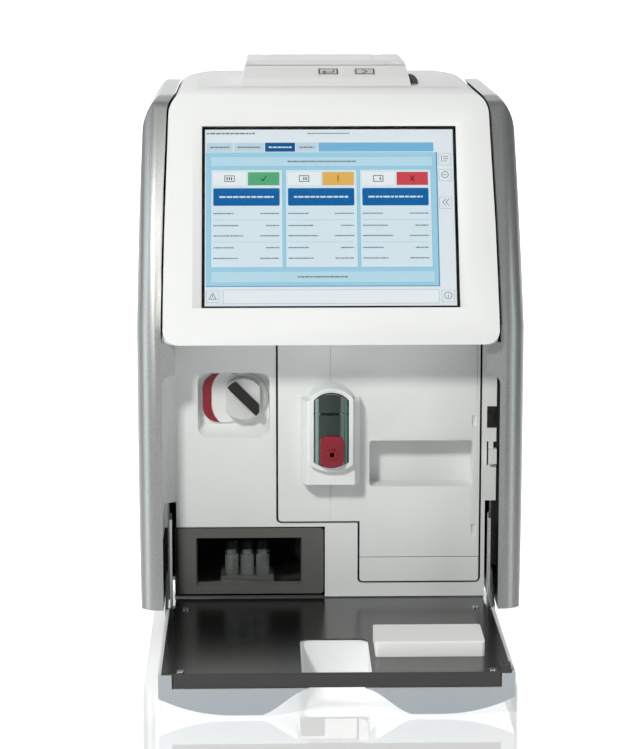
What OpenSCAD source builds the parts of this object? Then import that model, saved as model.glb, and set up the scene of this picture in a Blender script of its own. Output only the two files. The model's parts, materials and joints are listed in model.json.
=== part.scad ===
// Bench-top blood gas analyzer with its front door open.
// Units are millimetres. X runs to the right, Y to the back and Z up.
// The origin is on the bench, under the centre of the body.

/* [Body] */
// Width across the side panels, at foot and shoulder
body_w = 323; // [312:1:340]
// Depth of the body without the door
body_d = 330; // [322:1:352]
// Height of the flat top of the cover
crest_z = 476.5; // [474:0.1:484]
// Height of the lower edge of the side panels
skirt_z = 38; // [36:0.5:39]
// How much the sides bulge half way up
side_bow = 1.5; // [0.5:0.1:3]
// How much narrower each side is at its shoulder
side_taper = 2; // [0:0.1:3]
// Radius of the shoulder of a side panel
shoulder_r = 42; // [38:1:46]
// Radius of the shoulder of the top cover
crown_r = 92; // [88:1:96]
// Radius of the corner under the top cover's shoulder
brow_r = 19; // [14:0.5:24]
// Radius of the top cover's slightly curved sides
cheek_r = 4600; // [4000:100:6000]
// Radius between the display face and the top
top_r = 12.8; // [11:0.1:15]
// Radius between the top and the rear
rear_r = 30; // [25:1:35]
// Radius of the upright front and rear corners
corner_r = 16; // [10:1:18]
// Wall of the plastic covers
wall = 3; // [2.5:0.1:3.2]
// Width of a side panel seen from the front
panel_face_w = 19; // [17.5:0.1:20.5]
// Gap between a side panel and the top cover
seam = 2; // [1.5:0.1:2.5]
// How far the top of the side panels lies under the cover's top
panel_drop = 8; // [7:0.1:9]
// Height where the rear panel meets the top cover
rear_split_z = 400; // [385:1:410]

/* [Display] */
// Lean of the display face from upright
lean = 27; // [25:0.5:29]
// Height of the lower edge of the display bezel
bezel_z = 269.5; // [268:0.5:273]
// How far the bezel reaches in front of the side panels
bezel_out = 15; // [13:0.5:18]
// Step from the bezel face back to the side panels
bezel_step = 7; // [5.5:0.5:8]
// Thickness of the bezel face
bezel_t = 7; // [6:0.5:8]
// Radius of the lower corners of the bezel
bezel_r = 13; // [10:1:16]
// Width of the visible picture, 10.4 inch at 4 to 3
screen_w = 211.2; // [190:0.1:216]
// Height of the visible picture
screen_h = 158.4; // [145:0.1:160]
// Black border round the picture
screen_border = 2.4; // [1.5:0.1:3.5]
// Width of the bevel round the glass
bevel_w = 8; // [4:0.5:9]
// Distance from the bezel's lower edge to the black border
screen_up = 33; // [30:0.5:38]
// Thickness of the touch glass
glass_t = 1.8; // [1.1:0.1:2.2]
// Thickness of the display module
display_t = 10; // [7:0.5:14]

/* [Front] */
// Depth of the recess that the door closes over
recess_d = 47; // [46:0.5:52]
// Thickness of the inner front frame
frame_t = 3; // [2.5:0.1:3.5]
// Lower edge of the inner front frame
frame_low = 37; // [36.8:0.1:37.4]
// Radius of the cove at the left of the frame
cove_r = 12; // [8:0.5:13]
// Gap round the fluid pack
pack_gap = 1.7; // [1.2:0.1:2.2]
// Gap round the drawer front
drawer_gap = 1.2; // [0.8:0.1:1.6]
// Height of the arm slots in the frame
arm_slot_z = 122; // [121:0.5:126]

/* [Fluid pack] */
// Left side of the fluid pack
pack_x0 = -44.4; // [-44.8:0.1:-43.5]
// Right side of the fluid pack
pack_x1 = 129.5; // [128:0.1:130]
// Step in the lower left of the pack
pack_step_x = 26; // [20:0.5:30]
// Lower edge left of the step
pack_mid_z = 104; // [103.6:0.1:106]
// Lower edge right of the step
pack_low_z = 50.3; // [50:0.1:53]
// Top edge of the fluid pack
pack_top_z = 262; // [258:0.5:263]
// Length of the pack behind its front plate
pack_d = 182; // [165:1:184]
// Height of the foot strip's seam
pack_foot_z = 71.9; // [66:0.5:78]
// Thickness of the pack's front plate
pack_front_t = 3; // [2.5:0.1:4]
// Wall of the pack's case
pack_wall = 2; // [1.5:0.1:3]
// Width of the grip recess
grip_w = 89.2; // [80:0.5:91]
// Height of the grip recess
grip_h = 40.3; // [34:0.5:46]
// Centre of the grip recess, sideways
grip_x = 78.9; // [77:0.5:81]
// Centre of the grip recess, up
grip_z = 155; // [148:0.5:162]
// Depth of the grip recess
grip_d = 25; // [18:0.5:32]
// Wall of the pack bay
bay_wall = 1.2; // [1:0.1:1.5]

/* [Sample port] */
// Centre of the sample port, sideways
port_x = 0.7; // [-2:0.1:1.5]
// Width of the port housing at its base
port_w = 50.4; // [46:0.2:50.6]
// Lower edge of the port housing
port_low_z = 141.4; // [141:0.2:144]
// Shoulder of the port housing
port_high_z = 214.2; // [212:0.2:216]
// How far the housing block stands out
port_out = 22; // [18:0.5:24]
// How far the rim of the port window stands out
rim_out = 29; // [26:0.5:30]
// Width of the teal barrel
barrel_w = 28.8; // [25:0.2:30]
// Lower end of the teal barrel
barrel_low_z = 158.8; // [157:0.2:161]
// Upper end of the teal barrel
barrel_high_z = 222.3; // [220:0.2:223]
// Seam between the cap and the flap
flap_top_z = 204; // [200:0.5:207]
// Gap round the flap
flap_gap = 0.5; // [0.4:0.1:0.8]
// Bulge of the barrel in front of the rim
barrel_out = 5; // [3:0.2:5.6]
// Radius of the rim round the barrel
rim_w = 4.2; // [3.2:0.1:5]
// Width of the red filling port
fill_w = 20.5; // [17:0.2:22]
// Height of the red filling port
fill_h = 26.7; // [24:0.2:29]
// Radius of the sample inlet
fill_hole_r = 2; // [1.2:0.1:3]

/* [Sensor lock] */
// Left side of the lock recess
lock_x0 = -113.3; // [-116:0.1:-112]
// Right side of the lock recess
lock_x1 = -51.5; // [-53:0.1:-50.6]
// Lower edge of the recess at its mouth
lock_low_z = 178.6; // [176:0.2:181]
// Upper edge of the recess
lock_high_z = 235; // [233:0.2:239]
// Depth of the recess
lock_d = 15; // [14:0.5:19]
// Centre of the dial, sideways
dial_x = -74.3; // [-75.5:0.1:-73.5]
// Centre of the dial, up
dial_z = 211.2; // [210.5:0.1:212]
// Radius of the dial
dial_r = 18; // [15:0.5:19]
// Width across the dial's flats
dial_w = 29; // [26:0.5:30]
// Depth of the dial
dial_t = 9; // [7:0.5:10]
// Radius of the dial's shaft
dial_shaft_r = 4; // [3:0.1:5]
// Radius of the raised plate round the dial
plate_r = 21.6; // [21:0.1:22]

/* [Drawer] */
// Left side of the drawer front
drawer_x0 = -134.3; // [-134.4:0.1:-132]
// Right side of the drawer front
drawer_x1 = -5.2; // [-8:0.1:-4]
// Lower edge of the drawer front
drawer_low_z = 39.8; // [39.2:0.1:41]
// Upper edge of the drawer front
drawer_high_z = 98.2; // [96:0.1:98.6]
// Thickness of the drawer front
drawer_front_t = 8; // [6:0.5:9]
// Border of the drawer front round its window
drawer_border = 20; // [17:0.5:22]
// Border under and over the window
drawer_sill = 9.7; // [8:0.1:11]
// Length of the tray
tray_d = 122; // [116:1:135]
// Wall of the tray
tray_t = 1.6; // [1.2:0.1:2]
// Radius of a control vial
vial_r = 6; // [5:0.1:6.2]
// Height of a vial with its cap
vial_h = 38; // [30:0.5:42]
// Distance between vials
vial_pitch = 13.4; // [13.2:0.1:14.5]
// Columns of vials
vial_cols = 3; // [1:1:5]
// Rows of vials
vial_rows = 2; // [1:1:4]
// Middle of the vial rack, sideways
rack_x = -71.5; // [-76:0.5:-68]

/* [Door] */
// Gap between the door and a side panel
door_gap = 2; // [1.6:0.1:2.6]
// Distance of the hinge behind the front of the side panels
hinge_in = 26; // [25:0.5:26.5]
// Height of the hinge
hinge_z = 30; // [29.5:0.1:30.2]
// Height of the plate's face above the hinge
plate_up = 6; // [5.5:0.1:6.2]
// Depth of the door below the hinge
door_deep = 27.7; // [26:0.1:28]
// Length of the door in front of the hinge
door_len = 205; // [200:0.5:206]
// Height of the valley in the middle of the free edge
valley_h = 21.5; // [17:0.5:22]
// Half width of the valley at its foot
valley_foot = 63; // [58:0.5:66]
// Half width of the valley's flat crest
valley_crest = 20; // [16:0.5:24]
// Length of the valley
valley_len = 130; // [118:1:150]
// How much the lobes rise to the door's sides
lobe_rise = 13.7; // [10:0.1:15]
// Wall of the door shell
door_wall = 2.5; // [2:0.1:2.8]
// Thickness of the door's inner plate
plate_t = 1.2; // [1:0.1:1.5]
// Height of the plate's folded lip
lip_h = 12; // [9:0.5:13]
// Width of the port opening in the door
cut_w = 55.5; // [54.6:0.1:57]
// Near end of the port opening, from the hinge
cut_from = 107.5; // [106:0.5:108.5]
// Radius of the opening's corners
cut_r = 8; // [4:0.5:10]
// Left side of the rest pad
pad_x0 = 32; // [31:0.5:36]
// Right side of the rest pad
pad_x1 = 120; // [114:0.5:123]
// Near end of the pad, from the hinge
pad_from = 110; // [106:0.5:116]
// Length of the pad
pad_len = 51; // [44:0.5:56]
// Height of the pad
pad_h = 12.6; // [9:0.2:12.8]
// Length of a stay arm above the plate
arm_len = 80; // [72:0.5:83]
// Thickness of a stay arm
arm_t = 2; // [1.5:0.1:2]
// Radius of a hinge pin
pin_r = 3; // [2.5:0.1:3.4]
// Running clearance of pins and shafts
run_gap = 0.05; // [0.03:0.01:0.08]

/* [Printer] */
// Left end of the printer's foot
printer_x0 = -76; // [-79:0.5:-73]
// Right end of the printer's foot
printer_x1 = 72.5; // [71:0.5:75]
// Slant of the printer's ends
printer_slant = 5; // [3:0.5:7]
// Height of the printer's lid above the cover's top
printer_up = 19.8; // [19:0.2:21]
// Thickness of the printer's lid
lid_t = 4.1; // [4:0.1:4.6]
// Wall of the printer's lid
lid_wall = 2; // [1.6:0.1:2.4]
// Depth of the printer on the cover
printer_d = 132; // [124:1:140]
// Width of the paper
paper_w = 79.5; // [57:0.5:80]
// Radius of the full paper roll
roll_r = 25; // [20:0.5:25]
// Radius of the platen roller
platen_r = 5; // [4:0.1:5.2]
// Width of a printer button
button_w = 16.5; // [12:0.5:18]
// Height of a printer button along the slope
button_h = 9; // [7:0.2:9.4]
// Travel of a printer button
button_travel = 1; // [0.6:0.1:1.4]
// Distance between the two buttons
button_pitch = 31.6; // [24:0.2:34]

/* [Base] */
// Height of the rubber feet
foot_h = 10; // [8:0.5:12]
// Distance of the feet from the middle, sideways and lengthways
foot_x = 104; // [100:1:110]
foot_y = 92; // [80:1:94]
// Radius of the rubber feet
foot_r = 12; // [9:0.5:15]
// Thickness of the base plate
base_t = 3.5; // [2.5:0.1:4]
// How far the plinth is set back behind the inner front
plinth_in = 6; // [4:0.5:12]
// Thickness of the steel side plates
sheet_t = 1.5; // [1:0.1:1.6]

/* [Rear] */
// Size of the fan
fan_w = 80; // [70:1:92]
// Depth of the fan
fan_t = 25; // [20:0.5:28]
// Width of the power inlet
inlet_w = 27; // [25:0.5:30]
// Height of the power inlet
inlet_h = 20; // [18:0.5:24]

/* [Hidden] */
$fn = 64;

// Body, from the sizes above
hw = body_w / 2;
yf = -body_d / 2;
yb = body_d / 2;
pan_in = hw - panel_face_w;
cover_hw = pan_in - seam;
face_y = yf + recess_d;
back_y = face_y + frame_t;
bez_y = yf - bezel_out;
shoulder_z = crest_z - 39.5;
// Centres of the arcs in the top cover's front outline
cheek_c = [cover_hw - cheek_r, bezel_z];
crown_c = [cover_hw - 46.5, crest_z - crown_r];
brow_c = meet(cheek_c, cheek_r - brow_r, crown_c, crown_r - brow_r);
face_reach = bezel_z * sin(lean) - bez_y * cos(lean);
// Tongue of a side panel under the bezel's corner: its width and its fillet
tongue_w = 11.5;
tongue_r = 8.5;
// Door
door_hw = pan_in - door_gap;
hinge_y = yf + hinge_in;
free_y = hinge_y - door_len;
plate_z = hinge_z + plate_up;
lobe_z = hinge_z - door_deep;
plate_hw = door_hw - 3.5;
arm_x1 = door_hw - door_wall - 0.4;
arm_x0 = arm_x1 - arm_t;
notch_x = arm_x0 - 2.1;
notch_r = 13;
arm_y0 = hinge_y - 4;
arm_y1 = hinge_y + 8;
arm_top = plate_z + arm_len;
// Sheet steel inside
cs_in = arm_x1 + 1;
cs_out = cs_in + sheet_t;
frame_hw = cs_out - 0.3;
frame_right = pan_in + 1.3;
base_top = frame_low + 0.5;
base_z = base_top - base_t;
bay_back = back_y + pack_d + 3;
bulk_y = bay_back + bay_wall;
bulk_back = bulk_y + sheet_t;
tongue_z = hinge_z + door_len + 6;
// Port
port_face = face_y - port_out;
rim_face = face_y - rim_out;
barrel_face = rim_face - barrel_out;
flap_ax_y = rim_face + 2;
barrel_r = 22;
flap_pin_r = 1.2;
fill_x = port_x + 0.4;
fill_z0 = barrel_low_z + 1;
// Lock
lock_floor = face_y + lock_d;
// Printer
slope_y = lean_y(face_reach - top_r, crest_z - top_r);
lid_top = crest_z + printer_up;
lid_z = lid_top - lid_t;
paper_x = (printer_x0 + printer_x1) / 2 - 2;
roll_y = slope_y + 83;
roll_z = lid_z - 29;
platen_y = slope_y + 40;
platen_z = lid_top - lid_wall - platen_r - 0.6;
lid_ax_y = slope_y + printer_d - 11;
lid_ax_z = lid_top - 4;
// Sloping face that carries the buttons
key_low = [slope_y + 4.6, crest_z + 6];
key_high = [slope_y + 22.6, lid_z];
key_a = atan2(key_high[1] - key_low[1], key_high[0] - key_low[0]);
// Centre of the release lever's disc
lever_c = [printer_x1 - 2.6, crest_z + 0.7];
lever_r = 8.2;
lever_y0 = slope_y + 12.6;
lever_y1 = slope_y + 18.6;

// Arc as a list of points
function arc(cx, cy, r, a0, a1, n) =
    [for (i = [0:n]) [cx + r * cos(a0 + (a1 - a0) * i / n), cy + r * sin(a0 + (a1 - a0) * i / n)]];
// Direction from point a to point b
function heading(a, b) = atan2(b[1] - a[1], b[0] - a[0]);
// Point at distance ra from a and rb from b, to the left of the line from a to b
function meet(a, ra, b, rb) =
    let (d = norm(b - a), e = (b - a) / d, t = (ra * ra - rb * rb + d * d) / (2 * d))
    a + t * e + sqrt(ra * ra - t * t) * [-e[1], e[0]];
// Points mirrored left to right, in reverse order
function flip(p) = [for (i = [len(p) - 1:-1:0]) [-p[i][0], p[i][1]]];
// Smooth step from 0 to 1
function ease(t) = t <= 0 ? 0 : t >= 1 ? 1 : t * t * (3 - 2 * t);
// Where a leaning line at distance d from the origin stands at height z
function lean_y(d, z) = (z * sin(lean) - d) / cos(lean);
// Lower edge of the top cover's sides
function split_z(y) =
    bezel_z + (y - face_y - 6) * (rear_split_z - bezel_z) / (yb - face_y - 6);
// Lower surface of the door, rising to both sides
function door_low(x) =
    lobe_z + (abs(x) <= 80 ? 0 : lobe_rise * pow((abs(x) - 80) / (door_hw - 80), 2.2));
module along_x(x0, x1) {
    translate([x0, 0, 0]) rotate([90, 0, 90]) linear_extrude(x1 - x0) children();
}
module along_y(y0, y1) {
    translate([0, y1, 0]) rotate([90, 0, 0]) linear_extrude(y1 - y0) children();
}
module along_z(z0, z1) {
    translate([0, 0, z0]) linear_extrude(z1 - z0) children();
}
module box(a, b) {
    translate(a) cube([b[0] - a[0], b[1] - a[1], b[2] - a[2]]);
}
module rod_x(x0, x1, y, z, r) {
    translate([x0, y, z]) rotate([0, 90, 0]) cylinder(h = x1 - x0, r = r);
}
module rod_y(y0, y1, x, z, r) {
    translate([x, y0, z]) rotate([-90, 0, 0]) cylinder(h = y1 - y0, r = r);
}
module rect(x0, y0, x1, y1) {
    translate([x0, y0]) square([x1 - x0, y1 - y0]);
}
// Rectangle with round corners
module round_rect(x0, y0, x1, y1, r) {
    rect(x0 + r, y0, x1 - r, y1);
    rect(x0, y0 + r, x1, y1 - r);
    for (x = [x0 + r, x1 - r], y = [y0 + r, y1 - r]) translate([x, y]) circle(r);
}
module both_sides() {
    children();
    mirror([1, 0, 0]) children();
}
// Frame of the display face: x to the right, y up the slope, z out of the face
module on_face() {
    translate([0, bez_y, bezel_z]) rotate([90 - lean, 0, 0]) children();
}

// Outline of the body seen from the front, inset by o
function panel_front(o) =
    let (half = concat(
        [for (i = [0:12]) let (z = skirt_z + (shoulder_z - skirt_z) * i / 12, t = i / 6 - 1)
            [hw + side_bow * (1 - t * t) - side_taper * pow(i / 12, 4) - o, z]],
        arc(hw - side_taper - shoulder_r, shoulder_z, shoulder_r - o, 6, 90, 14)))
    concat([[-hw, skirt_z - 20], [hw, skirt_z - 20]], half, flip(half));
// Side view of the side panels, inset by o
function panel_side(o) =
    let (d = face_reach - bezel_step - o, top = crest_z - panel_drop - o, r = 20 - o,
        rb = rear_r - o)
    concat([[yf + o, skirt_z + o], [yf + o, (d + (yf + o) * cos(lean)) / sin(lean)]],
        arc(lean_y(d - r, top - r), top - r, r, 180 - lean, 90, 12),
        arc(yb - o - rb, top - rb, rb, 90, 0, 12), [[yb - o, skirt_z + o]]);
module panel_form(o) {
    w = hw + side_bow - o;
    intersection() {
        along_y(yf + o, yb - o) polygon(panel_front(o));
        along_x(-w - 10, w + 10) polygon(panel_side(o));
        along_z(skirt_z + o, crest_z) round_rect(-w, yf + o, w, yb - o, corner_r - o);
        on_face() along_y(-400, 400)
            round_rect(-w, -700, w, -bezel_step - o, corner_r - o);
    }
}
// Outline of the top cover seen from the front, inset by o
function cover_front(o) =
    let (half = concat(
        arc(cover_hw - cheek_r, bezel_z, cheek_r - o, 0, heading(cheek_c, brow_c), 6),
        arc(brow_c[0], brow_c[1], brow_r - o, heading(cheek_c, brow_c) + 6,
            heading(crown_c, brow_c) - 4, 6),
        arc(crown_c[0], crown_c[1], crown_r - o, heading(crown_c, brow_c), 90, 12)))
    concat([[-cover_hw + o, 0], [cover_hw - o, 0]], half, flip(half));
// Side view of the top cover, inset by o, with its face inset by f
function cover_side(o, f) =
    let (d = face_reach - f, top = crest_z - o, r = top_r - o, rb = rear_r - o,
        z0 = bezel_z + o)
    concat([[lean_y(d, z0), z0]],
        arc(lean_y(d - r, top - r), top - r, r, 180 - lean, 90, 14),
        arc(yb - o - rb, top - rb, rb, 90, 0, 12), [[yb - o, z0]]);
module cover_form(o, f) {
    intersection() {
        along_y(-260, yb - o) polygon(cover_front(o));
        along_x(-cover_hw + o, cover_hw - o) polygon(cover_side(o, f));
        on_face() along_z(-600, 20)
            round_rect(-cover_hw + o, o, cover_hw - o, 700, bezel_r - o);
    }
}

// Tongue of a side panel under the bezel's corner, up to e beyond the panel's edge
function tongue(e) =
    concat([[pan_in + e, tongue_z - tongue_r]],
        arc(pan_in - tongue_r, tongue_z - tongue_r, tongue_r, 0, 90, 6),
        [[pan_in - tongue_w + 1, tongue_z], [pan_in - tongue_w, tongue_z + 1],
            [pan_in - tongue_w, bezel_z - 0.6], [pan_in + e, bezel_z - 0.6]]);
module panel_right() {
    rib_x = hw + side_bow - wall + 0.3;
    difference() {
        union() {
            difference() {
                panel_form(0);
                panel_form(wall);
            }
            along_y(yf, yf + wall) polygon(tongue(1));
        }
        along_y(yf - 30, yb + 30) difference() {
            polygon(cover_front(-seam));
            polygon(tongue(0.1));
        }
        box([-400, yf - 50, 0], [0, yb + 50, 600]);
        box([0, yf + wall, 0], [pan_in, yb + 50, bezel_z]);
    }
    for (p = [[yf + 105, 100], [yb - 65, 100], [yf + 105, 270], [yb - 65, 290]])
        rod_x(cs_out, rib_x, p[0], p[1], 6);
}
module side_panel_right() {
    color("silver") panel_right();
}
module side_panel_left() {
    color("silver") mirror([1, 0, 0]) panel_right();
}

module bevel_cut() {
    gw = screen_w / 2 + screen_border;
    s1 = screen_up + screen_h + 2 * screen_border;
    hull() {
        translate([-gw - bevel_w, screen_up - 0.4, 0])
            cube([2 * gw + 2 * bevel_w, s1 - screen_up + bevel_w + 0.4, 1]);
        translate([-gw - 0.3, screen_up - 0.3, -2.2]) cube([2 * gw + 0.6, s1 - screen_up + 0.6, 1]);
    }
}
module top_cover() {
    gw = screen_w / 2 + screen_border + 0.3;
    s1 = screen_up + screen_h + 2 * screen_border + 0.3;
    color("whitesmoke") difference() {
        cover_form(0, 0);
        cover_form(wall, bezel_t);
        along_x(-300, 300) polygon([[face_y + 6, 0], [face_y + 6, bezel_z - 1],
            [face_y + 6, split_z(face_y + 6) + 0.01], [yb + 1, split_z(yb + 1)], [yb + 1, 0]]);
        on_face() {
            bevel_cut();
            box([-gw, screen_up - 0.3, -20], [gw, s1, 5]);
        }
        box([paper_x - paper_w / 2 - 6, roll_y - roll_r - 6, crest_z - 20],
            [paper_x + paper_w / 2 + 6, roll_y + roll_r + 6, crest_z + 5]);
        box([paper_x - paper_w / 2 - 6, platen_y - 12, crest_z - 20],
            [paper_x + paper_w / 2 + 6, roll_y, crest_z + 5]);
    }
}
module rear_panel() {
    hx = cs_out + 1.6;
    top = split_z(yb - wall) - 0.5;
    lean_h = 53;
    color("lightgray") difference() {
        // its upper corners lean in with the side panels
        along_y(yb - wall, yb) polygon([[-hx, base_z], [hx, base_z], [hx, top - lean_h],
            [hx - 2, top], [2 - hx, top], [-hx, top - lean_h]]);
        for (i = [-4:4]) let (x = fan_x() + i * 8, h = sqrt(36 * 36 - 64 * i * i))
            box([x - 2.2, yb - wall - 1, fan_z() - h], [x + 2.2, yb + 1, fan_z() + h]);
        inlet_place() box([-inlet_w / 2, -wall - 1, -inlet_h / 2], [inlet_w / 2, 1, inlet_h / 2]);
        rocker_place() {
            box([-6.2, -wall - 1, -10.5], [6.2, 1, 10.5]);
            rod_x(-8.2, 8.2, -1.5, 0, 1 + run_gap);
        }
        ports_place() box([-34, -wall - 1, -11], [34, 1, 11]);
        for (i = [0:11]) let (x = -96 + i * 8)
            box([x - 2, yb - wall - 1, 270], [x + 2, yb + 1, 330]);
    }
}
function fan_x() = 70;
function fan_z() = 300;
module inlet_place() {
    translate([-95, yb, 76]) children();
}
module rocker_place() {
    translate([-58, yb, 76]) children();
}
module ports_place() {
    translate([45, yb, 80]) children();
}

// Outline of the fluid pack seen from the front, grown by o
module pack_outline(o, r = 3) {
    round_rect(pack_x0 - o, pack_mid_z - o, pack_x1 + o, pack_top_z + o, r + o);
    round_rect(pack_step_x - o, pack_low_z - o, pack_x1 + o, pack_top_z + o, r + o);
}
module inner_front_frame() {
    dx = drawer_x1 + drawer_gap;
    dz = drawer_high_z + drawer_gap;
    color("white") union() {
        difference() {
            union() {
                box([-pan_in - 2, face_y, dz], [frame_right, back_y, bezel_z]);
                box([dx, face_y, frame_low], [frame_hw, back_y, dz + 1]);
                // cove on the left and the wall that it runs into
                difference() {
                    box([-pan_in - 2, face_y - cove_r, arm_slot_z],
                        [-pan_in + cove_r, face_y + 0.5, bezel_z]);
                    translate([-pan_in + cove_r, face_y - cove_r, 0])
                        cylinder(h = 400, r = cove_r, $fn = 96);
                }
                box([-pan_in - 2, yf + 7, dz], [-pan_in, face_y + 0.5, bezel_z]);
            }
            along_y(face_y - 60, back_y + 1) pack_outline(pack_gap);
            // slots that the stay arms swing through
            box([-frame_hw - 0.2, face_y - 20, 0], [-notch_x + 1, back_y + 1, arm_slot_z]);
            box([notch_x + 1, face_y - 20, 0], [frame_right + 1, back_y + 1, arm_slot_z]);
            along_y(face_y - 1, back_y + 1) lock_outline();
            // windows of the door latch and of its hook
            box([cs_in - 3, face_y - 1, 186], [frame_right + 1, back_y + 1, 205]);
            box([cs_in - 3, face_y - 1, 153], [frame_right + 1, back_y + 1, 174]);
        }
        // hook under the latch
        box([cs_in - 1.6, face_y - 5, 155], [frame_right, back_y, 168]);
        box([cs_in - 1.6, face_y, 150], [cs_in + 2.6, back_y, 175]);
    }
}
module side_liners() {
    color("dimgray") for (p = [[0, bezel_z - 1], [1, drawer_high_z]]) mirror([p[0], 0, 0]) {
        box([pan_in + 3.7, yf + 7, 64], [pan_in + 5.2, back_y + 1.5, p[1]]);
        box([cs_out, back_y, 64], [pan_in + 5.2, back_y + 1.5, p[1]]);
    }
}
module base_plate() {
    rail_x0 = drawer_x0 + 3;
    color("gray") {
        difference() {
            box([-cs_in, back_y, base_z], [cs_in, yb - wall, base_top]);
            both_sides() box([notch_x + 1, back_y - 1, base_z - 1],
                [cs_in + 1, arm_back(), base_top + 1]);
        }
        // drawer rails
        for (x = [rail_x0, drawer_x1 - 5]) {
            box([x, back_y + 8, base_top - 0.5], [x + 2, back_y + 8 + tray_d, base_top + 18]);
        }
        box([rail_x0, back_y + 8, drawer_low_z + 2], [rail_x0 + 7, back_y + 8 + tray_d, rail_z()]);
        box([drawer_x1 - 10, back_y + 8, drawer_low_z + 2],
            [drawer_x1 - 3, back_y + 8 + tray_d, rail_z()]);
    }
}
// Where the closed stay arms end, with some room
function arm_back() = hinge_y + plate_up + arm_len + 5;
// Top of the ledge that the drawer runs on
function rail_z() = drawer_low_z + 3.5;
module plinth() {
    y0 = back_y + plinth_in;
    color("dimgray") difference() {
        along_z(foot_h, base_z) round_rect(-128, y0, 128, yb - 18, 12);
        along_z(foot_h + 3, base_z + 1) round_rect(-125, y0 + 3, 125, yb - 21, 9);
    }
}
module rubber_feet() {
    color("black") for (x = [-foot_x, foot_x], y = [-foot_y, foot_y])
        translate([x, y, 0]) cylinder(h = foot_h, r = foot_r);
}
module chassis_sides() {
    y0 = back_y;
    y1 = yb - wall;
    color("lightslategray") both_sides() along_x(cs_in, cs_out)
        polygon([[y0, base_z], [y0, bezel_z - 0.5], [face_y + 6, bezel_z - 0.5],
            [y1, split_z(y1)], [y1, base_z]]);
}
module bulkhead() {
    color("lightslategray") difference() {
        box([-cs_in, bulk_y, base_top], [cs_in, bulk_back, pack_top_z + 8]);
        rod_y(bulk_y - 1, bulk_back + 1, -110, 225, 12);
        rod_y(bulk_y - 1, bulk_back + 1, -110, 70, 12);
    }
}
module pack_bay() {
    color("black") {
        along_y(back_y, bay_back) difference() {
            pack_outline(pack_gap + bay_wall);
            pack_outline(pack_gap);
        }
        along_y(bay_back, bulk_y) pack_outline(pack_gap + bay_wall);
    }
}

module touch_glass() {
    gw = screen_w / 2 + screen_border;
    s1 = screen_up + screen_h + 2 * screen_border;
    color("lightcyan", 0.4) on_face() box([-gw, screen_up, -2.2 - glass_t], [gw, s1, -2.2]);
}
module display_surround() {
    gw = screen_w / 2 + screen_border;
    s1 = screen_up + screen_h + 2 * screen_border;
    b = screen_border;
    color("black") on_face() difference() {
        box([-gw, screen_up, -bezel_t], [gw, s1, -2.2 - glass_t]);
        box([-gw + b, screen_up + b, -bezel_t - 1], [gw - b, s1 - b, 0]);
    }
}
module display_panel() {
    x = screen_w / 2;
    s0 = screen_up + screen_border;
    color("steelblue") on_face() {
        box([-x, s0, -bezel_t - 1], [x, s0 + screen_h, -2.2 - glass_t]);
        box([-x - 8, s0 - 8, -bezel_t - display_t], [x + 8, s0 + screen_h + 8, -bezel_t]);
    }
}

module main_board() {
    color("green") {
        box([-20, bulk_back + 6, 130], [128, bulk_back + 7.6, 258]);
        for (x = [-12, 120], z = [138, 250]) rod_y(bulk_back, bulk_back + 6.5, x, z, 3);
        box([20, bulk_back + 7, 180], [50, bulk_back + 10, 210]);
        box([70, bulk_back + 7, 165], [92, bulk_back + 10, 187]);
        box([100, bulk_back + 7, 200], [108, bulk_back + 14, 240]);
    }
}
module power_supply() {
    color("silver") difference() {
        box([-130, bulk_back, base_top], [-34, bulk_back + 58, base_top + 56]);
        for (i = [0:8]) box([-122 + i * 10, bulk_back + 10, base_top + 50],
            [-118 + i * 10, bulk_back + 48, base_top + 60]);
    }
}
module inlet_socket() {
    color("black") inlet_place() difference() {
        union() {
            box([-inlet_w / 2, -20, -inlet_h / 2], [inlet_w / 2, 0, inlet_h / 2]);
            box([-inlet_w / 2 - 3, 0, -inlet_h / 2 - 3], [inlet_w / 2 + 3, 2, inlet_h / 2 + 3]);
        }
        box([-inlet_w / 2 + 2, -16, -inlet_h / 2 + 2], [inlet_w / 2 - 2, 3, inlet_h / 2 - 2]);
    }
    color("black") inlet_place() for (x = [-6, 0, 6]) box([x - 1, -17, -2.5], [x + 1, -4, 2.5]);
}
module power_rocker() {
    color("black") rocker_place() translate([0, -1.5, 0]) rotate([-6, 0, 0]) difference() {
        union() {
            box([-5.6, -6.5, -9.2], [5.6, 3.1, 9.2]);
            rod_x(-8, 8, 0, 0, 1);
        }
        rod_x(-9, 9, 22.6, 0, 20.6);
    }
}
module data_ports() {
    color("darkslategray") ports_place() difference() {
        box([-34, -14, -11], [34, 0.8, 11]);
        box([-29, -10, -6.5], [-14, 2, 6.5]);
        box([-7, -10, -6.5], [8, 2, 6.5]);
        for (z = [-5.6, 2.6]) box([15, -10, z - 1], [29, 2, z + 4.5]);
    }
}
module fan_housing() {
    color("dimgray") translate([fan_x(), yb - wall, fan_z()]) difference() {
        box([-fan_w / 2, -fan_t, -fan_w / 2], [fan_w / 2, 0, fan_w / 2]);
        rod_y(-fan_t - 1, -3, 0, 0, fan_w / 2 - 2);
        difference() {
            rod_y(-4, 1, 0, 0, fan_w / 2 - 2);
            rod_y(-5, 2, 0, 0, 16);
            for (a = [45, 135]) rotate([0, a, 0]) box([-fan_w / 2, -5, -2], [fan_w / 2, 2, 2]);
        }
        rod_y(-5, 1, 0, 0, 2 + run_gap);
    }
}
module fan_rotor() {
    color("black") translate([fan_x(), yb - wall, fan_z()]) {
        rod_y(-fan_t + 2, -4, 0, 0, 16);
        rod_y(-5, 0, 0, 0, 2);
        for (a = [0:51.43:350]) rotate([0, a, 0]) translate([0, -(fan_t + 3) / 2 + 1, 14])
            rotate([0, 0, 38]) translate([-9, -0.7, 0]) cube([18, 1.4, fan_w / 2 - 18]);
    }
}
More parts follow.
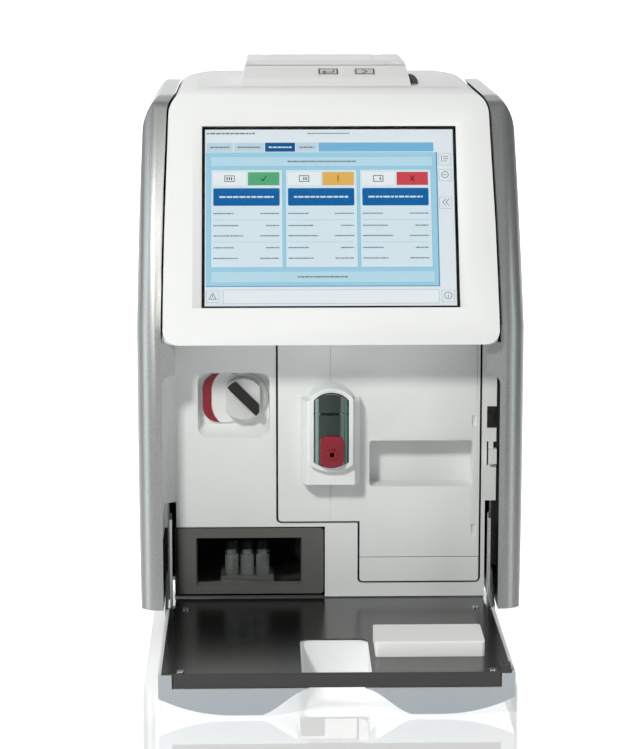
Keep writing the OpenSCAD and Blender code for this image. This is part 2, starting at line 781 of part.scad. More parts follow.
module measuring_chamber() {
    x1 = pack_x0 - pack_gap - bay_wall;
    y0 = lock_floor + 8;
    color("gainsboro") {
        box([x1 - 70, y0, 186], [x1, y0 + 86, 228]);
        box([x1 - 64, y0 + 4, 228], [x1 - 8, y0 + 78, 238]);
        for (i = [0:3]) rod_y(y0 + 85, y0 + 92, x1 - 58 + i * 14, 208, 3);
    }
}
// Height and place of the hose pump
module pump_place() {
    translate([-96, bulk_y, 140]) children();
}
module pump_motor() {
    color("gray") pump_place() {
        rod_y(-34, 0, 0, 0, 19);
    }
}
module pump_head() {
    color("ivory") pump_place() difference() {
        box([-26, -58, -26], [26, -34, 26]);
        rod_y(-59, -37, 0, 0, 21.5);
        rod_y(-60, -30, 0, 0, 3.2);
    }
}
module pump_rotor() {
    color("orange") pump_place() {
        rod_y(-56, -38, 0, 0, 9);
        rod_y(-38.5, -34.2, 0, 0, 3);
        for (a = [0, 120, 240]) rotate([0, a, 0]) {
            rod_y(-55, -39, 13, 0, 6);
        }
    }
}

module lock_outline() {
    round_rect(lock_x0 - 1.5, lock_low_z - 1.5, lock_x1 + 1.5, lock_high_z + 1.5, 10);
}
module lock_recess() {
    color("white") {
        difference() {
            along_y(face_y, lock_floor + 2) lock_outline();
            hull() {
                along_y(face_y - 1, face_y)
                    round_rect(lock_x0, lock_low_z, lock_x1, lock_high_z, 9, $fn = 32);
                along_y(lock_floor - 1, lock_floor)
                    round_rect(lock_x0 + 0.6, lock_low_z + 7.4, lock_x1 - 0.6, lock_high_z - 1, 9,
                        $fn = 32);
            }
            rod_y(lock_floor - 5, lock_floor + 5, dial_x, dial_z, dial_shaft_r + run_gap);
        }
        difference() {
            along_y(lock_floor - 2.5, lock_floor + 0.2) plate_outline(0);
            rod_y(lock_floor - 5, lock_floor + 5, dial_x, dial_z, dial_shaft_r + run_gap);
        }
    }
}
// Outline of the raised plate round the dial, inset by o
module plate_outline(o) {
    translate([dial_x, dial_z]) circle(plate_r - o);
    round_rect(dial_x - 35.3 + o, dial_z - plate_r + o, dial_x, dial_z + plate_r - o, 14 - o);
}
module lock_indicator() {
    color("crimson") along_y(lock_floor - 3.3, lock_floor - 2.5) intersection() {
        difference() {
            plate_outline(0.3);
            round_rect(dial_x - 27.3, dial_z - plate_r - 5, dial_x + 30, dial_z + plate_r + 5, 21);
        }
        rect(-400, -400, dial_x - 14, 400);
    }
}
module lock_dial() {
    front = lock_floor - 2.7 - dial_t;
    color("lightgray") union() {
        intersection() {
            rod_y(front, front + dial_t, dial_x, dial_z, dial_r);
            box([dial_x - dial_w / 2, -400, 0], [dial_x + dial_w / 2, 400, 400]);
        }
        rod_y(front + dial_t - 0.5, lock_floor + 4.8, dial_x, dial_z, dial_shaft_r);
        rod_y(lock_floor + 2.3, lock_floor + 4.8, dial_x, dial_z, dial_shaft_r + 2);
    }
}
module lock_grip() {
    front = lock_floor - 2.7 - dial_t;
    color("black") intersection() {
        rod_y(front - 6, front, dial_x, dial_z, dial_r - 0.6);
        box([dial_x - dial_w / 2 + 0.6, -400, 0], [dial_x + dial_w / 2 - 0.6, 400, 400]);
        translate([dial_x + 2, 0, dial_z + 2]) rotate([0, 45, 0])
            box([-30, -400, -4.5], [30, 400, 4.5]);
    }
}
module door_latch() {
    color("black") {
        box([cs_in - 5, back_y, 187], [cs_in, face_y + 14, 204]);
        box([cs_in - 2.6, face_y + 0.8, 186.4], [frame_right - 0.4, back_y, 204.6]);
        box([cs_in - 2, face_y - 1.5, 191], [cs_in + 2.4, face_y + 1.2, 199]);
    }
}

module hinge_brackets() {
    color("dimgray") both_sides() difference() {
        union() {
            rod_x(cs_out, cs_out + 1.8, hinge_y, hinge_z, 8);
            along_x(cs_out, cs_out + 1.8) polygon([[hinge_y, hinge_z - 8], [hinge_y, hinge_z + 8],
                [back_y + 4, 62], [back_y + 30, 62], [back_y + 30, hinge_z + 4],
                [back_y, hinge_z - 2]]);
        }
        rod_x(cs_out - 1, cs_out + 3, hinge_y, hinge_z, pin_r);
    }
}
module hinge_pins() {
    color("silver") both_sides() {
        rod_x(arm_x0 - 0.5, cs_out + 1.8, hinge_y, hinge_z, pin_r);
        rod_x(arm_x0 - 1.6, arm_x0 - 0.3, hinge_y, hinge_z, pin_r + 2);
    }
}
module door_arms() {
    color("silver") both_sides() difference() {
        along_x(arm_x0, arm_x1) {
            translate([hinge_y, hinge_z]) circle(8);
            rect(hinge_y - 58, lobe_z + 20, hinge_y, plate_z - plate_t);
            polygon([[arm_y0, hinge_z], [arm_y0 + 1, arm_top - 4], [arm_y0 + 4, arm_top],
                [arm_y1 - 4, arm_top], [arm_y1 - 1, arm_top - 4], [arm_y1, hinge_z]]);
        }
        rod_x(arm_x0 - 1, arm_x1 + 1, hinge_y, hinge_z, pin_r + run_gap);
    }
}

// Solid under the valley's surface, raised by t: an S-shaped valley that a ramp cuts off
module scoop(t) {
    z0 = lobe_z - 0.6 + t;
    a = valley_h + 0.6;
    f = valley_foot + t;
    intersection() {
        along_y(free_y - 4, free_y + valley_len + 6) polygon(concat(
            [[-f, lobe_z - 20]],
            [for (i = [0:24]) let (x = f * (i / 12 - 1))
                [x, z0 + a * ease((f - abs(x)) / (valley_foot - valley_crest))]],
            [[f, lobe_z - 20]]));
        along_x(-f - 1, f + 1) polygon(concat([[free_y - 5, lobe_z - 20]],
            [for (i = [-1:14]) let (y = free_y + valley_len * i / 14)
                [y, z0 + a * (1 - ease(i / 14))]],
            [[free_y + valley_len + 7, z0], [free_y + valley_len + 7, lobe_z - 20]]));
    }
}
function door_section(o, top) =
    concat([for (i = [0:40]) let (x = (door_hw - o) * (i / 20 - 1)) [x, door_low(x) + o]],
        [[door_hw - o, top], [-door_hw + o, top]]);
screw_spots = [[124, 15.5], [123, 199]];
module door_shell() {
    zt = plate_z - plate_t;
    w = door_wall;
    hx = cut_w / 2 + 0.6;
    lip_hw = plate_hw - 8;
    color("white") difference() {
        union() {
            difference() {
                along_y(free_y, hinge_y) polygon(door_section(0, plate_z));
                difference() {
                    along_y(free_y + w, hinge_y - w) polygon(door_section(w, plate_z + 5));
                    scoop(w);
                }
            }
            // collar round the port opening
            box([-hx - w, free_y + 1, lobe_z + 1], [hx + w, hinge_y - cut_from + 0.6 + w, zt]);
            for (s = [-1, 1], p = screw_spots)
                translate([s * p[0], hinge_y - p[1], door_low(p[0]) + 1])
                    cylinder(h = zt - door_low(p[0]) - 1, r = 4);
        }
        scoop(0);
        along_z(-5, 60) round_rect(-hx, free_y + 6, hx, hinge_y - cut_from + 0.6, 4);
        box([-hx, free_y + 6, -5], [hx, free_y + 20, 60]);
        // room for the plate and its lip
        box([-plate_hw - 0.8, free_y - 1, zt], [plate_hw + 0.8, hinge_y + 1, plate_z + 1]);
        box([-lip_hw - 0.8, free_y - 1, plate_z - lip_h - 0.5],
            [lip_hw + 0.8, free_y + 4.2, plate_z + 1]);
        for (s = [-1, 1], p = screw_spots)
            translate([s * p[0], hinge_y - p[1], plate_z - 9]) cylinder(h = 20, r = 1.5);
        both_sides() box([notch_x, hinge_y - notch_r, -5], [door_hw + 1, hinge_y + 1, 60]);
    }
}
module door_plate() {
    zt = plate_z - plate_t;
    hx = cut_w / 2;
    lip_hw = plate_hw - 8;
    y0 = free_y + 2;
    color("darkslategray") {
        difference() {
            box([-plate_hw, y0, zt], [plate_hw, hinge_y + 19, plate_z]);
            along_z(0, 60) {
                round_rect(-hx, y0 + plate_t, hx, hinge_y - cut_from, cut_r);
                rect(-hx, y0 + plate_t, hx, y0 + 20);
            }
            both_sides() box([notch_x, hinge_y - notch_r, 0], [plate_hw + 1, hinge_y + 30, 60]);
            for (s = [-1, 1], p = screw_spots)
                translate([s * p[0], hinge_y - p[1], 0]) cylinder(h = 60, r = 1.7);
        }
        box([-lip_hw, y0, plate_z - lip_h], [lip_hw, y0 + plate_t, plate_z]);
        // latch tab
        box([plate_hw - 7, y0, plate_z - 0.2], [plate_hw, y0 + 22, plate_z + 1.4]);
        box([plate_hw - 1.4, y0, plate_z - 0.2], [plate_hw, y0 + 9, plate_z + 6]);
    }
}
module door_pad() {
    y0 = hinge_y - pad_from - pad_len;
    color("white") difference() {
        along_z(plate_z, plate_z + pad_h)
            round_rect(pad_x0, y0, pad_x1, hinge_y - pad_from, 3);
        along_x(pad_x0 - 1, pad_x1 + 1) polygon([[y0 - 1, plate_z + pad_h - 2],
            [y0 - 1, plate_z + pad_h + 1], [y0 + 3, plate_z + pad_h + 1]]);
    }
}
module door_screws() {
    color("silver") for (s = [-1, 1], p = screw_spots)
        translate([s * p[0], hinge_y - p[1], 0]) difference() {
            union() {
                translate([0, 0, plate_z]) cylinder(h = 1.2, r = 3.1);
                translate([0, 0, plate_z - 8]) cylinder(h = 8.5, r = 1.5);
            }
            translate([0, 0, plate_z + 0.5]) cylinder(h = 3, r = 1.2, $fn = 6);
        }
}

module grip_place() {
    translate([grip_x, face_y, grip_z]) children();
}
module pack_front() {
    gw = grip_w / 2;
    gh = grip_h / 2;
    t = pack_front_t;
    color("white") {
        difference() {
            along_y(face_y, face_y + t) intersection() {
                pack_outline(0);
                rect(-300, pack_foot_z + 0.3, 300, 400);
            }
            grip_place() along_y(-5, 10) round_rect(-gw, -gh, gw, gh, 3);
            // seam between the two halves of the front
            box([port_x - 0.3, face_y - 1, 0], [port_x + 0.3, face_y + 0.6, 400]);
            // windows of the two clips
            for (z = [192, 96]) box([pack_x1 - 6.6, face_y - 1, z - 4.6],
                [pack_x1 - 3.2, face_y + 1, z + 4.6]);
        }
        grip_place() difference() {
            along_y(0, grip_d + 2) round_rect(-gw - 2, -gh - 2, gw + 2, gh + 2, 5);
            along_y(-1, grip_d) round_rect(-gw, -gh, gw, gh, 3);
        }
    }
}
module pack_foot() {
    color("white") along_y(face_y, face_y + pack_front_t) intersection() {
        pack_outline(0);
        rect(-300, 0, 300, pack_foot_z - 0.3);
    }
}
module pack_case() {
    y0 = face_y + pack_front_t;
    y1 = back_y + pack_d;
    w = pack_wall;
    color("ghostwhite") {
        along_y(y0, y1 - w) difference() {
            pack_outline(-0.6, 4);
            pack_outline(-0.6 - w, 5);
        }
        along_y(y1 - w, y1) pack_outline(-0.6, 4);
    }
}
module reagent_bags() {
    w = pack_wall + 0.6;
    y0 = face_y + grip_d + 8;
    y1 = back_y + pack_d - pack_wall;
    x = pack_step_x + w + 2;
    mid = (x + pack_x1 - w) / 2;
    color("lightblue") {
        along_z(pack_mid_z + w, pack_top_z - 12)
            round_rect(pack_x0 + w + 2, y0, x - 6, y1, 10);
        along_z(pack_low_z + w, pack_top_z - 12) round_rect(x, y0, mid - 2, y1, 10);
        along_z(pack_low_z + w, pack_top_z - 12) round_rect(mid + 2, y0, pack_x1 - w - 2, y1, 10);
    }
}

// Outline of the barrel seen from the front, grown by o
module barrel_outline(o) {
    ht = barrel_w / 2;
    rt = ht * 1.36;
    rl = ht * 1.98;
    intersection() {
        rect(port_x - ht - o, barrel_low_z - o, port_x + ht + o, barrel_high_z + o);
        union() {
            translate([port_x, barrel_high_z - rt]) circle(rt + o);
            rect(-300, 0, 300, barrel_high_z - rt);
        }
        union() {
            translate([port_x, barrel_low_z + rl]) circle(rl + o);
            rect(-300, barrel_low_z + rl, 300, 400);
        }
    }
}
// Barrel with its front bulging round an upright axis
module barrel(y1) {
    intersection() {
        along_y(barrel_face - 1, y1) barrel_outline(0);
        union() {
            translate([port_x, barrel_face + barrel_r, 0]) cylinder(h = 400, r = barrel_r);
            box([-300, barrel_face + barrel_r, 0], [300, y1 + 1, 400]);
        }
    }
}
// Solid of revolution round the flap's pin, from a profile of radius and side position
module round_pin() {
    translate([port_x, flap_ax_y, flap_top_z]) rotate([0, 90, 0]) rotate_extrude() children();
}
// Top end of the flap: as far from the pin everywhere as the barrel's bulging front is
module flap_knuckle(o) {
    h = barrel_w / 2 + o;
    round_pin() polygon(concat([[0, h], [0, -h]], [for (i = [-6:6]) let (x = h * i / 6)
        [sqrt(barrel_r * barrel_r - x * x) - barrel_r + flap_ax_y - barrel_face + o, x]]));
}
// Space that the lower end of the flap may fill and still swing out of the housing
module flap_swing() {
    box([-300, -400, 0], [300, flap_ax_y, 400]);
    round_pin() intersection() {
        rotate(90) translate([-port_x, -flap_top_z]) barrel_outline(0);
        rect(0, -40, 80, 40);
    }
}
module port_housing() {
    h = port_w / 2;
    color("white") difference() {
        union() {
            along_z(port_low_z, port_high_z) polygon([[port_x - h, face_y],
                [port_x - h + 0.8, port_face + 8], [port_x - h + 5, port_face],
                [port_x + h - 5, port_face], [port_x + h - 0.8, port_face + 8], [port_x + h, face_y]]);
            along_y(rim_face, face_y) barrel_outline(rim_w);
        }
        along_y(rim_face - 10, face_y - 4) barrel_outline(flap_gap);
        rod_x(port_x - barrel_w / 2 - 4, port_x + barrel_w / 2 + 4, flap_ax_y, flap_top_z,
            flap_pin_r + run_gap);
        along_z(port_low_z - 1, port_low_z + 6) polygon([[port_x - h - 1, port_face - 1],
            [port_x - h - 1, port_face + 3], [port_x - h + 3, port_face - 1]]);
    }
}
module port_cap() {
    color("darkslategray") difference() {
        barrel(face_y - 4);
        box([-300, -400, 0], [300, 400, flap_top_z + 0.3]);
        flap_knuckle(0.4);
    }
}
module fill_block() {
    y0 = barrel_face - 1.5;
    along_y(y0, y0 + 9) {
        round_rect(fill_x - fill_w / 2, fill_z0, fill_x + fill_w / 2, fill_z0 + fill_h, 6);
    }
}
module port_flap() {
    color("teal") difference() {
        union() {
            intersection() {
                barrel(face_y - 8);
                box([-300, -400, 0], [300, 400, flap_top_z]);
                flap_swing();
            }
            flap_knuckle(-0.1);
            rod_x(port_x - barrel_w / 2 - 3, port_x + barrel_w / 2 + 3, flap_ax_y, flap_top_z,
                flap_pin_r);
        }
        fill_block();
        rod_y(barrel_face - 5, face_y, fill_x, fill_z0 + 10.9, fill_hole_r + 1);
    }
}
module fill_port() {
    z = fill_z0 + 10.9;
    color("crimson") difference() {
        union() {
            fill_block();
            rod_y(barrel_face - 3.5, barrel_face, fill_x, z, fill_hole_r + 2.4);
            rod_y(barrel_face + 5, face_y - 9, fill_x, z, fill_hole_r + 1);
        }
        rod_y(barrel_face - 5, face_y - 12, fill_x, z, fill_hole_r);
    }
}

module drawer_front() {
    b = drawer_border;
    s = drawer_sill;
    y1 = face_y + drawer_front_t;
    color("dimgray") difference() {
        along_y(face_y, y1) round_rect(drawer_x0, drawer_low_z, drawer_x1, drawer_high_z, 3);
        hull() {
            box([drawer_x0 + b - 1.2, face_y - 1, drawer_low_z + s - 2.6],
                [drawer_x1 - b + 1.2, face_y, drawer_high_z - s + 1.2]);
            box([drawer_x0 + b, y1 - 2, drawer_low_z + s], [drawer_x1 - b, y1 - 1, drawer_high_z - s]);
        }
        box([drawer_x0 + b, y1 - 3, drawer_low_z + s], [drawer_x1 - b, y1 + 1, drawer_high_z - s]);
        box([drawer_x0 + b - 2, y1 - 1.6, drawer_low_z + s - 2],
            [drawer_x1 - b + 2, y1 + 1, drawer_high_z - s + 2]);
        // bevel of the left shoulder
        along_z(0, 200) polygon([[drawer_x0 - 1, face_y - 1], [drawer_x0 + 4, face_y - 1],
            [drawer_x0 - 1, face_y + 5]]);
    }
}
module drawer_window() {
    b = drawer_border - 2;
    s = drawer_sill - 2;
    y1 = face_y + drawer_front_t;
    color("black", 0.5)
        box([drawer_x0 + b, y1 - 1.6, drawer_low_z + s], [drawer_x1 - b, y1, drawer_high_z - s]);
}
module drawer_tray() {
    y0 = face_y + drawer_front_t;
    x0 = drawer_x0 + 5.6;
    x1 = drawer_x1 - 5.6;
    z0 = rail_z() + 0.3;
    z1 = drawer_high_z - 14;
    t = tray_t;
    color("dimgray") difference() {
        box([x0, y0, z0], [x1, y0 + tray_d, z1]);
        box([x0 + t, y0 - 1, z0 + t], [x1 - t, y0 + tray_d - t, z1 + 1]);
    }
}
module vial_spots() {
    y0 = face_y + drawer_front_t + 3 + vial_pitch / 2;
    for (i = [0:vial_cols - 1], j = [0:vial_rows - 1])
        translate([rack_x + (i - (vial_cols - 1) / 2) * vial_pitch, y0 + j * (vial_pitch + 2),
            rail_z() + 0.3 + tray_t]) children();
}
module vial_rack() {
    y0 = face_y + drawer_front_t + 3;
    z0 = rail_z() + 0.3 + tray_t;
    hx = vial_cols * vial_pitch / 2 + 3;
    color("gainsboro") difference() {
        box([rack_x - hx, y0, z0], [rack_x + hx, y0 + vial_rows * (vial_pitch + 2) - 1, z0 + 8]);
        vial_spots() translate([0, 0, 1.5]) cylinder(h = 20, r = vial_r + 0.2);
    }
}
module control_vials() {
    color("lightsteelblue") vial_spots() translate([0, 0, 1.5]) {
        cylinder(h = vial_h - 13, r = vial_r);
        cylinder(h = vial_h - 8, r = vial_r - 1.8);
    }
}
module vial_caps() {
    color("dimgray") vial_spots() translate([0, 0, vial_h - 8 + 1.5]) {
        cylinder(h = 8, r = vial_r + 0.3);
    }
}

// Side view of the printer's foot
function foot_side() = let (c = crest_z, zn = lid_ax_z - 4.8)
    [[slope_y - 9, c - 20], [slope_y - 7, c - 4], key_low, key_high, [lid_ax_y - 8, lid_z],
        [lid_ax_y - 8, zn], [lid_ax_y + 7, zn], [lid_ax_y + 12, c - 6],
        [lid_ax_y + 12, c - 20]];
// Front view of the printer's foot and lid
function foot_front() = let (s = printer_slant, z0 = crest_z - 6, z1 = lid_top, r = 3)
    concat([[printer_x0, z0 - 20], [printer_x1, z0 - 20], [printer_x1, z0]],
        arc(printer_x1 - s - r, z1 - r, r, 15, 90, 4),
        arc(printer_x0 + s + r, z1 - r, r, 90, 165, 4), [[printer_x0, z0]]);
module button_place(i) {
    c = (key_low + key_high) / 2;
    translate([paper_x + 4 + i * button_pitch, c[0], c[1]]) rotate([key_a, 0, 0]) children();
}
module bucket(o) {
    x0 = paper_x - paper_w / 2 - 3 - o;
    x1 = paper_x + paper_w / 2 + 3 + o;
    along_x(x0, x1) {
        rect(roll_y - roll_r - 2 - o, roll_z - roll_r - 2 - o, roll_y + roll_r + 3 + o,
            lid_z + (o > 0 ? 0 : 5));
    }
}
module printer_base() {
    px = paper_x;
    hx = paper_w / 2;
    z = lid_z;
    color("whitesmoke") difference() {
        union() {
            difference() {
                union() {
                    difference() {
                        intersection() {
                            along_x(printer_x0 - 5, printer_x1 + 5) polygon(foot_side());
                            along_y(-300, 300) polygon(foot_front());
                        }
                        cover_form(0, 0);
                    }
                    bucket(2);
                }
                bucket(0);
            }
            // seat of the print head
            box([px - hx - 5, platen_y - 9, crest_z - 6], [px + hx + 5, roll_y - roll_r - 3, z]);
            for (s = [-1, 1]) {
                // stubs that carry the paper roll
                rod_x(px + s * (hx - 1) - 5, px + s * (hx - 1) + 5, roll_y, roll_z, 5.5);
                // posts and pins of the lid
                translate([px + s * 50, 0, 0]) {
                    box([-2.8, lid_ax_y - 3, z - 8], [2.8, lid_ax_y + 3, lid_ax_z]);
                    rod_x(-2.8, 2.8, lid_ax_y, lid_ax_z, 3);
                    rod_x(-7, 7, lid_ax_y, lid_ax_z, 1.5);
                }
            }
        }
        // bed of the platen and the print head
        box([px - hx - 3, platen_y - platen_r - 1.5, platen_z - platen_r - 9],
            [px + hx + 3, platen_y + platen_r + 1.5, z + 1]);
        for (i = [0, 1]) button_place(i) {
            box([-button_w / 2 - 0.3, -button_h / 2 - 0.3, -2.2 - button_travel],
                [button_w / 2 + 0.3, button_h / 2 + 0.3, 5]);
        }
        // pocket and channel of the release lever
        for (d = [0, 2]) rod_y(lever_y0 - 0.5, lever_y1 + 0.5, lever_c[0] - d, lever_c[1],
            lever_r + 0.5);
        box([lever_c[0] - 21, lever_y0 + 0.6, crest_z + 1.1],
            [lever_c[0] - 4, lever_y1 - 0.6, crest_z + 4.9]);
        for (s = [-1, 1]) translate([px + s * (hx + 7.2), 0, 0])
            box([-4.5, platen_y - 8, platen_z - 5.5], [4.5, platen_y + 8, z + 1]);
    }
}
module printer_lid() {
    px = paper_x;
    hx = paper_w / 2;
    w = lid_wall;
    z0 = lid_z + 0.4;
    y0 = key_high[0] + 0.4;
    y1 = lid_ax_y;
    ya = slope_y + 31.6;
    color("whitesmoke") difference() {
        union() {
            difference() {
                intersection() {
                    along_x(printer_x0 - 5, printer_x1 + 5) union() {
                        polygon([[y0, z0], [ya, lid_top], [y1, lid_top], [y1, z0 - 1],
                            [y1 - 6, z0]]);
                        translate([y1, lid_ax_z]) circle(4);
                    }
                    along_y(-300, 300) polygon(foot_front());
                }
                intersection() {
                    along_x(printer_x0 - 5, printer_x1 + 5)
                        polygon([[ya - 0.5, z0 - 1], [ya + 1, lid_top - w],
                            [y1 - 12, lid_top - w], [y1 - 12, z0 - 1]]);
                    box([printer_x0 + printer_slant + w + 2, -300, 0],
                        [printer_x1 - printer_slant - w - 2, 300, 600]);
                }
            }
            // cheeks that carry the platen
            for (s = [-1, 1]) translate([px + s * (hx + 6), 0, 0])
                box([-1.5, platen_y - 5, platen_z - 4.5], [1.5, platen_y + 5, lid_top - w + 0.5]);
        }
        // slot for the paper
        box([px - hx - 0.5, ya + 1.6, z0 - 1], [px + hx + 0.5, ya + 2.8, lid_top + 1]);
        for (s = [-1, 1]) {
            // lines beside the paper, and finger dimples at the ends
            translate([px + 1.9 + s * 41.8, 0, 0])
                box([-0.3, ya - 0.5, lid_top - 0.5], [0.3, y1 - 14, lid_top + 1]);
            translate([px + s * 59.5, y0 + 0.5, z0]) rotate([25, 0, 0])
                translate([0, 0, -0.5]) cylinder(h = 4, r = 6.2);
            rod_x(px + s * (hx + 6) - 3, px + s * (hx + 6) + 3, platen_y, platen_z, 2 + run_gap);
            translate([px + s * 50, 0, 0]) {
                box([-3.3, y1 - 8, z0 - 8], [3.3, y1 + 10, lid_top + 5]);
                rod_x(-8, 8, y1, lid_ax_z, 1.5 + run_gap);
            }
        }
    }
}
module print_head() {
    px = paper_x;
    hx = paper_w / 2;
    color("dimgray") {
        box([px - hx - 2, platen_y - 4, platen_z - platen_r - 9],
            [px + hx + 2, platen_y + 4, platen_z - platen_r - 4]);
        box([px - hx, platen_y - 3, platen_z - platen_r - 4.5],
            [px + hx, platen_y + 3, platen_z - platen_r - 0.4]);
    }
}
module platen_roller() {
    px = paper_x;
    hx = paper_w / 2;
    color("black") {
        rod_x(px - hx, px + hx, platen_y, platen_z, platen_r);
        rod_x(px - hx - 8, px + hx + 9, platen_y, platen_z, 2);
        // drive gear
        translate([px + hx + 7.8, platen_y, platen_z]) rotate([0, 90, 0]) union() {
            cylinder(h = 3, r = 3.6);
            for (a = [0:30:330]) rotate([0, 0, a]) translate([3.3, -0.6, 0]) cube([1.5, 1.2, 3]);
        }
    }
}
module paper_roll() {
    color("white") difference() {
        rod_x(paper_x - paper_w / 2, paper_x + paper_w / 2, roll_y, roll_z, roll_r);
        rod_x(paper_x - paper_w, paper_x + paper_w, roll_y, roll_z, 5.5 + run_gap);
    }
}
module button(i) {
    button_place(i) box([-button_w / 2, -button_h / 2, -1.6], [button_w / 2, button_h / 2, 0.4]);
}
module return_button() {
    color("lightgray") button(0);
}
module next_button() {
    color("lightgray") button(1);
}
module release_lever() {
    x = lever_c[0];
    color("dimgray") {
        intersection() {
            rod_y(lever_y0, lever_y1, x, lever_c[1], lever_r);
            box([x - 5, lever_y0, crest_z + 0.4], [x + 20, lever_y1, crest_z + 20]);
        }
        box([x - 18, lever_y0 + 1, crest_z + 1.5], [x - 4, lever_y1 - 1, crest_z + 4.5]);
    }
}

side_panel_left();
side_panel_right();
top_cover();
rear_panel();
inner_front_frame();
side_liners();
base_plate();
plinth();
rubber_feet();
chassis_sides();
bulkhead();
pack_bay();
display_panel();
display_surround();
touch_glass();
main_board();
power_supply();
inlet_socket();
power_rocker();
data_ports();
fan_housing();
fan_rotor();
measuring_chamber();
pump_motor();
pump_head();
pump_rotor();
lock_recess();
lock_indicator();
lock_dial();
lock_grip();
door_latch();
hinge_brackets();
hinge_pins();
door_shell();
door_plate();
door_pad();
door_screws();
door_arms();
pack_front();
pack_foot();
pack_case();
reagent_bags();
port_housing();
port_cap();
port_flap();
fill_port();
drawer_front();
drawer_window();
drawer_tray();
vial_rack();
control_vials();
vial_caps();
printer_base();
printer_lid();
print_head();
platen_roller();
paper_roll();
return_button();
next_button();
release_lever();
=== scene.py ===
import json
import math
import random

import bmesh
import bpy
import numpy as np
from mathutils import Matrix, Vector


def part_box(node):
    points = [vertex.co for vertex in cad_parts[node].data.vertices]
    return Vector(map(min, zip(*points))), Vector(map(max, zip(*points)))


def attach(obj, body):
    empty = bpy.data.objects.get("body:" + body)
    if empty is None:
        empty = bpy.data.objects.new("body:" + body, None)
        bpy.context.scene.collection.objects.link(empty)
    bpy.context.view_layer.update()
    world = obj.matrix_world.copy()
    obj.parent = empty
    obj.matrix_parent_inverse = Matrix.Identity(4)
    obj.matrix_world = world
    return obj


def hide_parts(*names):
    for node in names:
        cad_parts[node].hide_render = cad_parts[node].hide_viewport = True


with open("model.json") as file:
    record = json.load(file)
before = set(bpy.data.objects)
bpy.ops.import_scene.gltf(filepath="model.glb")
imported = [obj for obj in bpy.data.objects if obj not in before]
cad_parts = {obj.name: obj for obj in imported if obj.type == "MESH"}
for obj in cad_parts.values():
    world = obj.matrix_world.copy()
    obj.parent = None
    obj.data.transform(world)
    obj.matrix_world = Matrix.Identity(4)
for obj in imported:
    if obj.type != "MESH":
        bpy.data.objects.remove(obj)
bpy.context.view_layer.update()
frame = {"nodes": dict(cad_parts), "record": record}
nodes = frame["nodes"]
slotOf = {row["node"]: row["material_slot"] for row in frame["record"]["subparts"]}
bodyOf = {n: body for body, names in frame["record"]["behaviour"]["bodies"].items() for n in names}
mm = 0.001
print("frame loaded:", len(nodes), "nodes")

# the display face leans back; its own frame starts at the middle of the bezel's lower edge
face = {"lean": math.radians(27), "y": -180 * mm, "z": 269.5 * mm}
screen = {"wide": 211.2 * mm, "high": 158.4 * mm, "up": 35.4 * mm, "depth": -3.95 * mm}


def linear(code):
    # an sRGB hex colour as the linear numbers that a socket takes
    parts = [int(code[i:i + 2], 16) / 255 for i in (1, 3, 5)]
    return [p / 12.92 if p <= 0.04045 else ((p + 0.055) / 1.055) ** 2.4 for p in parts] + [1.0]


def addNode(tree, kind, values=None, links=None, **settings):
    # adds a node, sets its properties and inputs, and links its inputs
    node = tree.nodes.new(kind)
    for name, value in settings.items():
        setattr(node, name, value)
    for name, value in (values or {}).items():
        node.inputs[name].default_value = value
    for name, source in (links or {}).items():
        tree.links.new(source, node.inputs[name])
    return node


def newMaterial(name, **shader):
    # a material with one shader, and the object coordinates that its patterns follow
    material = bpy.data.materials.new(name)
    material.use_nodes = True
    tree = material.node_tree
    tree.nodes.clear()
    surface = addNode(tree, "ShaderNodeBsdfPrincipled", values=shader)
    addNode(tree, "ShaderNodeOutputMaterial", links={"Surface": surface.outputs[0]})
    place = addNode(tree, "ShaderNodeTexCoord").outputs["Object"]
    return material, tree, surface, place


def patchScale(size):
    # the noise scale at which one patch is about size across
    return 0.5 / size


def addGrain(tree, surface, place, size, depth, detail=2.0):
    # moulded grain: a noise whose bumps are size across and depth high
    noise = addNode(tree, "ShaderNodeTexNoise", links={"Vector": place},
                    values={"Scale": patchScale(size), "Detail": detail})
    bump = addNode(tree, "ShaderNodeBump", values={"Strength": 0.6, "Distance": depth},
                   links={"Height": noise.outputs[0]})
    tree.links.new(bump.outputs[0], surface.inputs["Normal"])


def addRamp(tree, source, stops):
    # a colour ramp through stops of (position, sRGB hex)
    ramp = addNode(tree, "ShaderNodeValToRGB", links={"Fac": source})
    elements = ramp.color_ramp.elements
    while len(elements) < len(stops):
        elements.new(0.5)
    for element, (at, colour) in zip(elements, stops):
        element.position = at
        element.color = linear(colour)
    return ramp.outputs[0]


def addTone(tree, surface, place, size, low, high):
    # slow change between two colours over patches of the given size
    noise = addNode(tree, "ShaderNodeTexNoise", links={"Vector": place},
                    values={"Scale": patchScale(size), "Detail": 3.0})
    ramp = addRamp(tree, noise.outputs[0], [(0.3, low), (0.7, high)])
    tree.links.new(ramp, surface.inputs["Base Color"])


def addSheenChange(tree, surface, place, size, low, high):
    # roughness wanders between low and high
    noise = addNode(tree, "ShaderNodeTexNoise", links={"Vector": place},
                    values={"Scale": patchScale(size), "Detail": 4.0})
    spread = addNode(tree, "ShaderNodeMapRange", values={"To Min": low, "To Max": high},
                     links={"Value": noise.outputs[0]})
    tree.links.new(spread.outputs[0], surface.inputs["Roughness"])


def mouldedAbs(name, low, high, rough=(0.40, 0.48), grain=0.35):
    # injection moulding with a fine spark-eroded grain of the given size in millimetres
    material, tree, surface, place = newMaterial(name, **{"IOR": 1.52})
    addTone(tree, surface, place, 60 * mm, low, high)
    addGrain(tree, surface, place, grain * mm, 0.02 * mm)
    addSheenChange(tree, surface, place, 25 * mm, *rough)
    return material


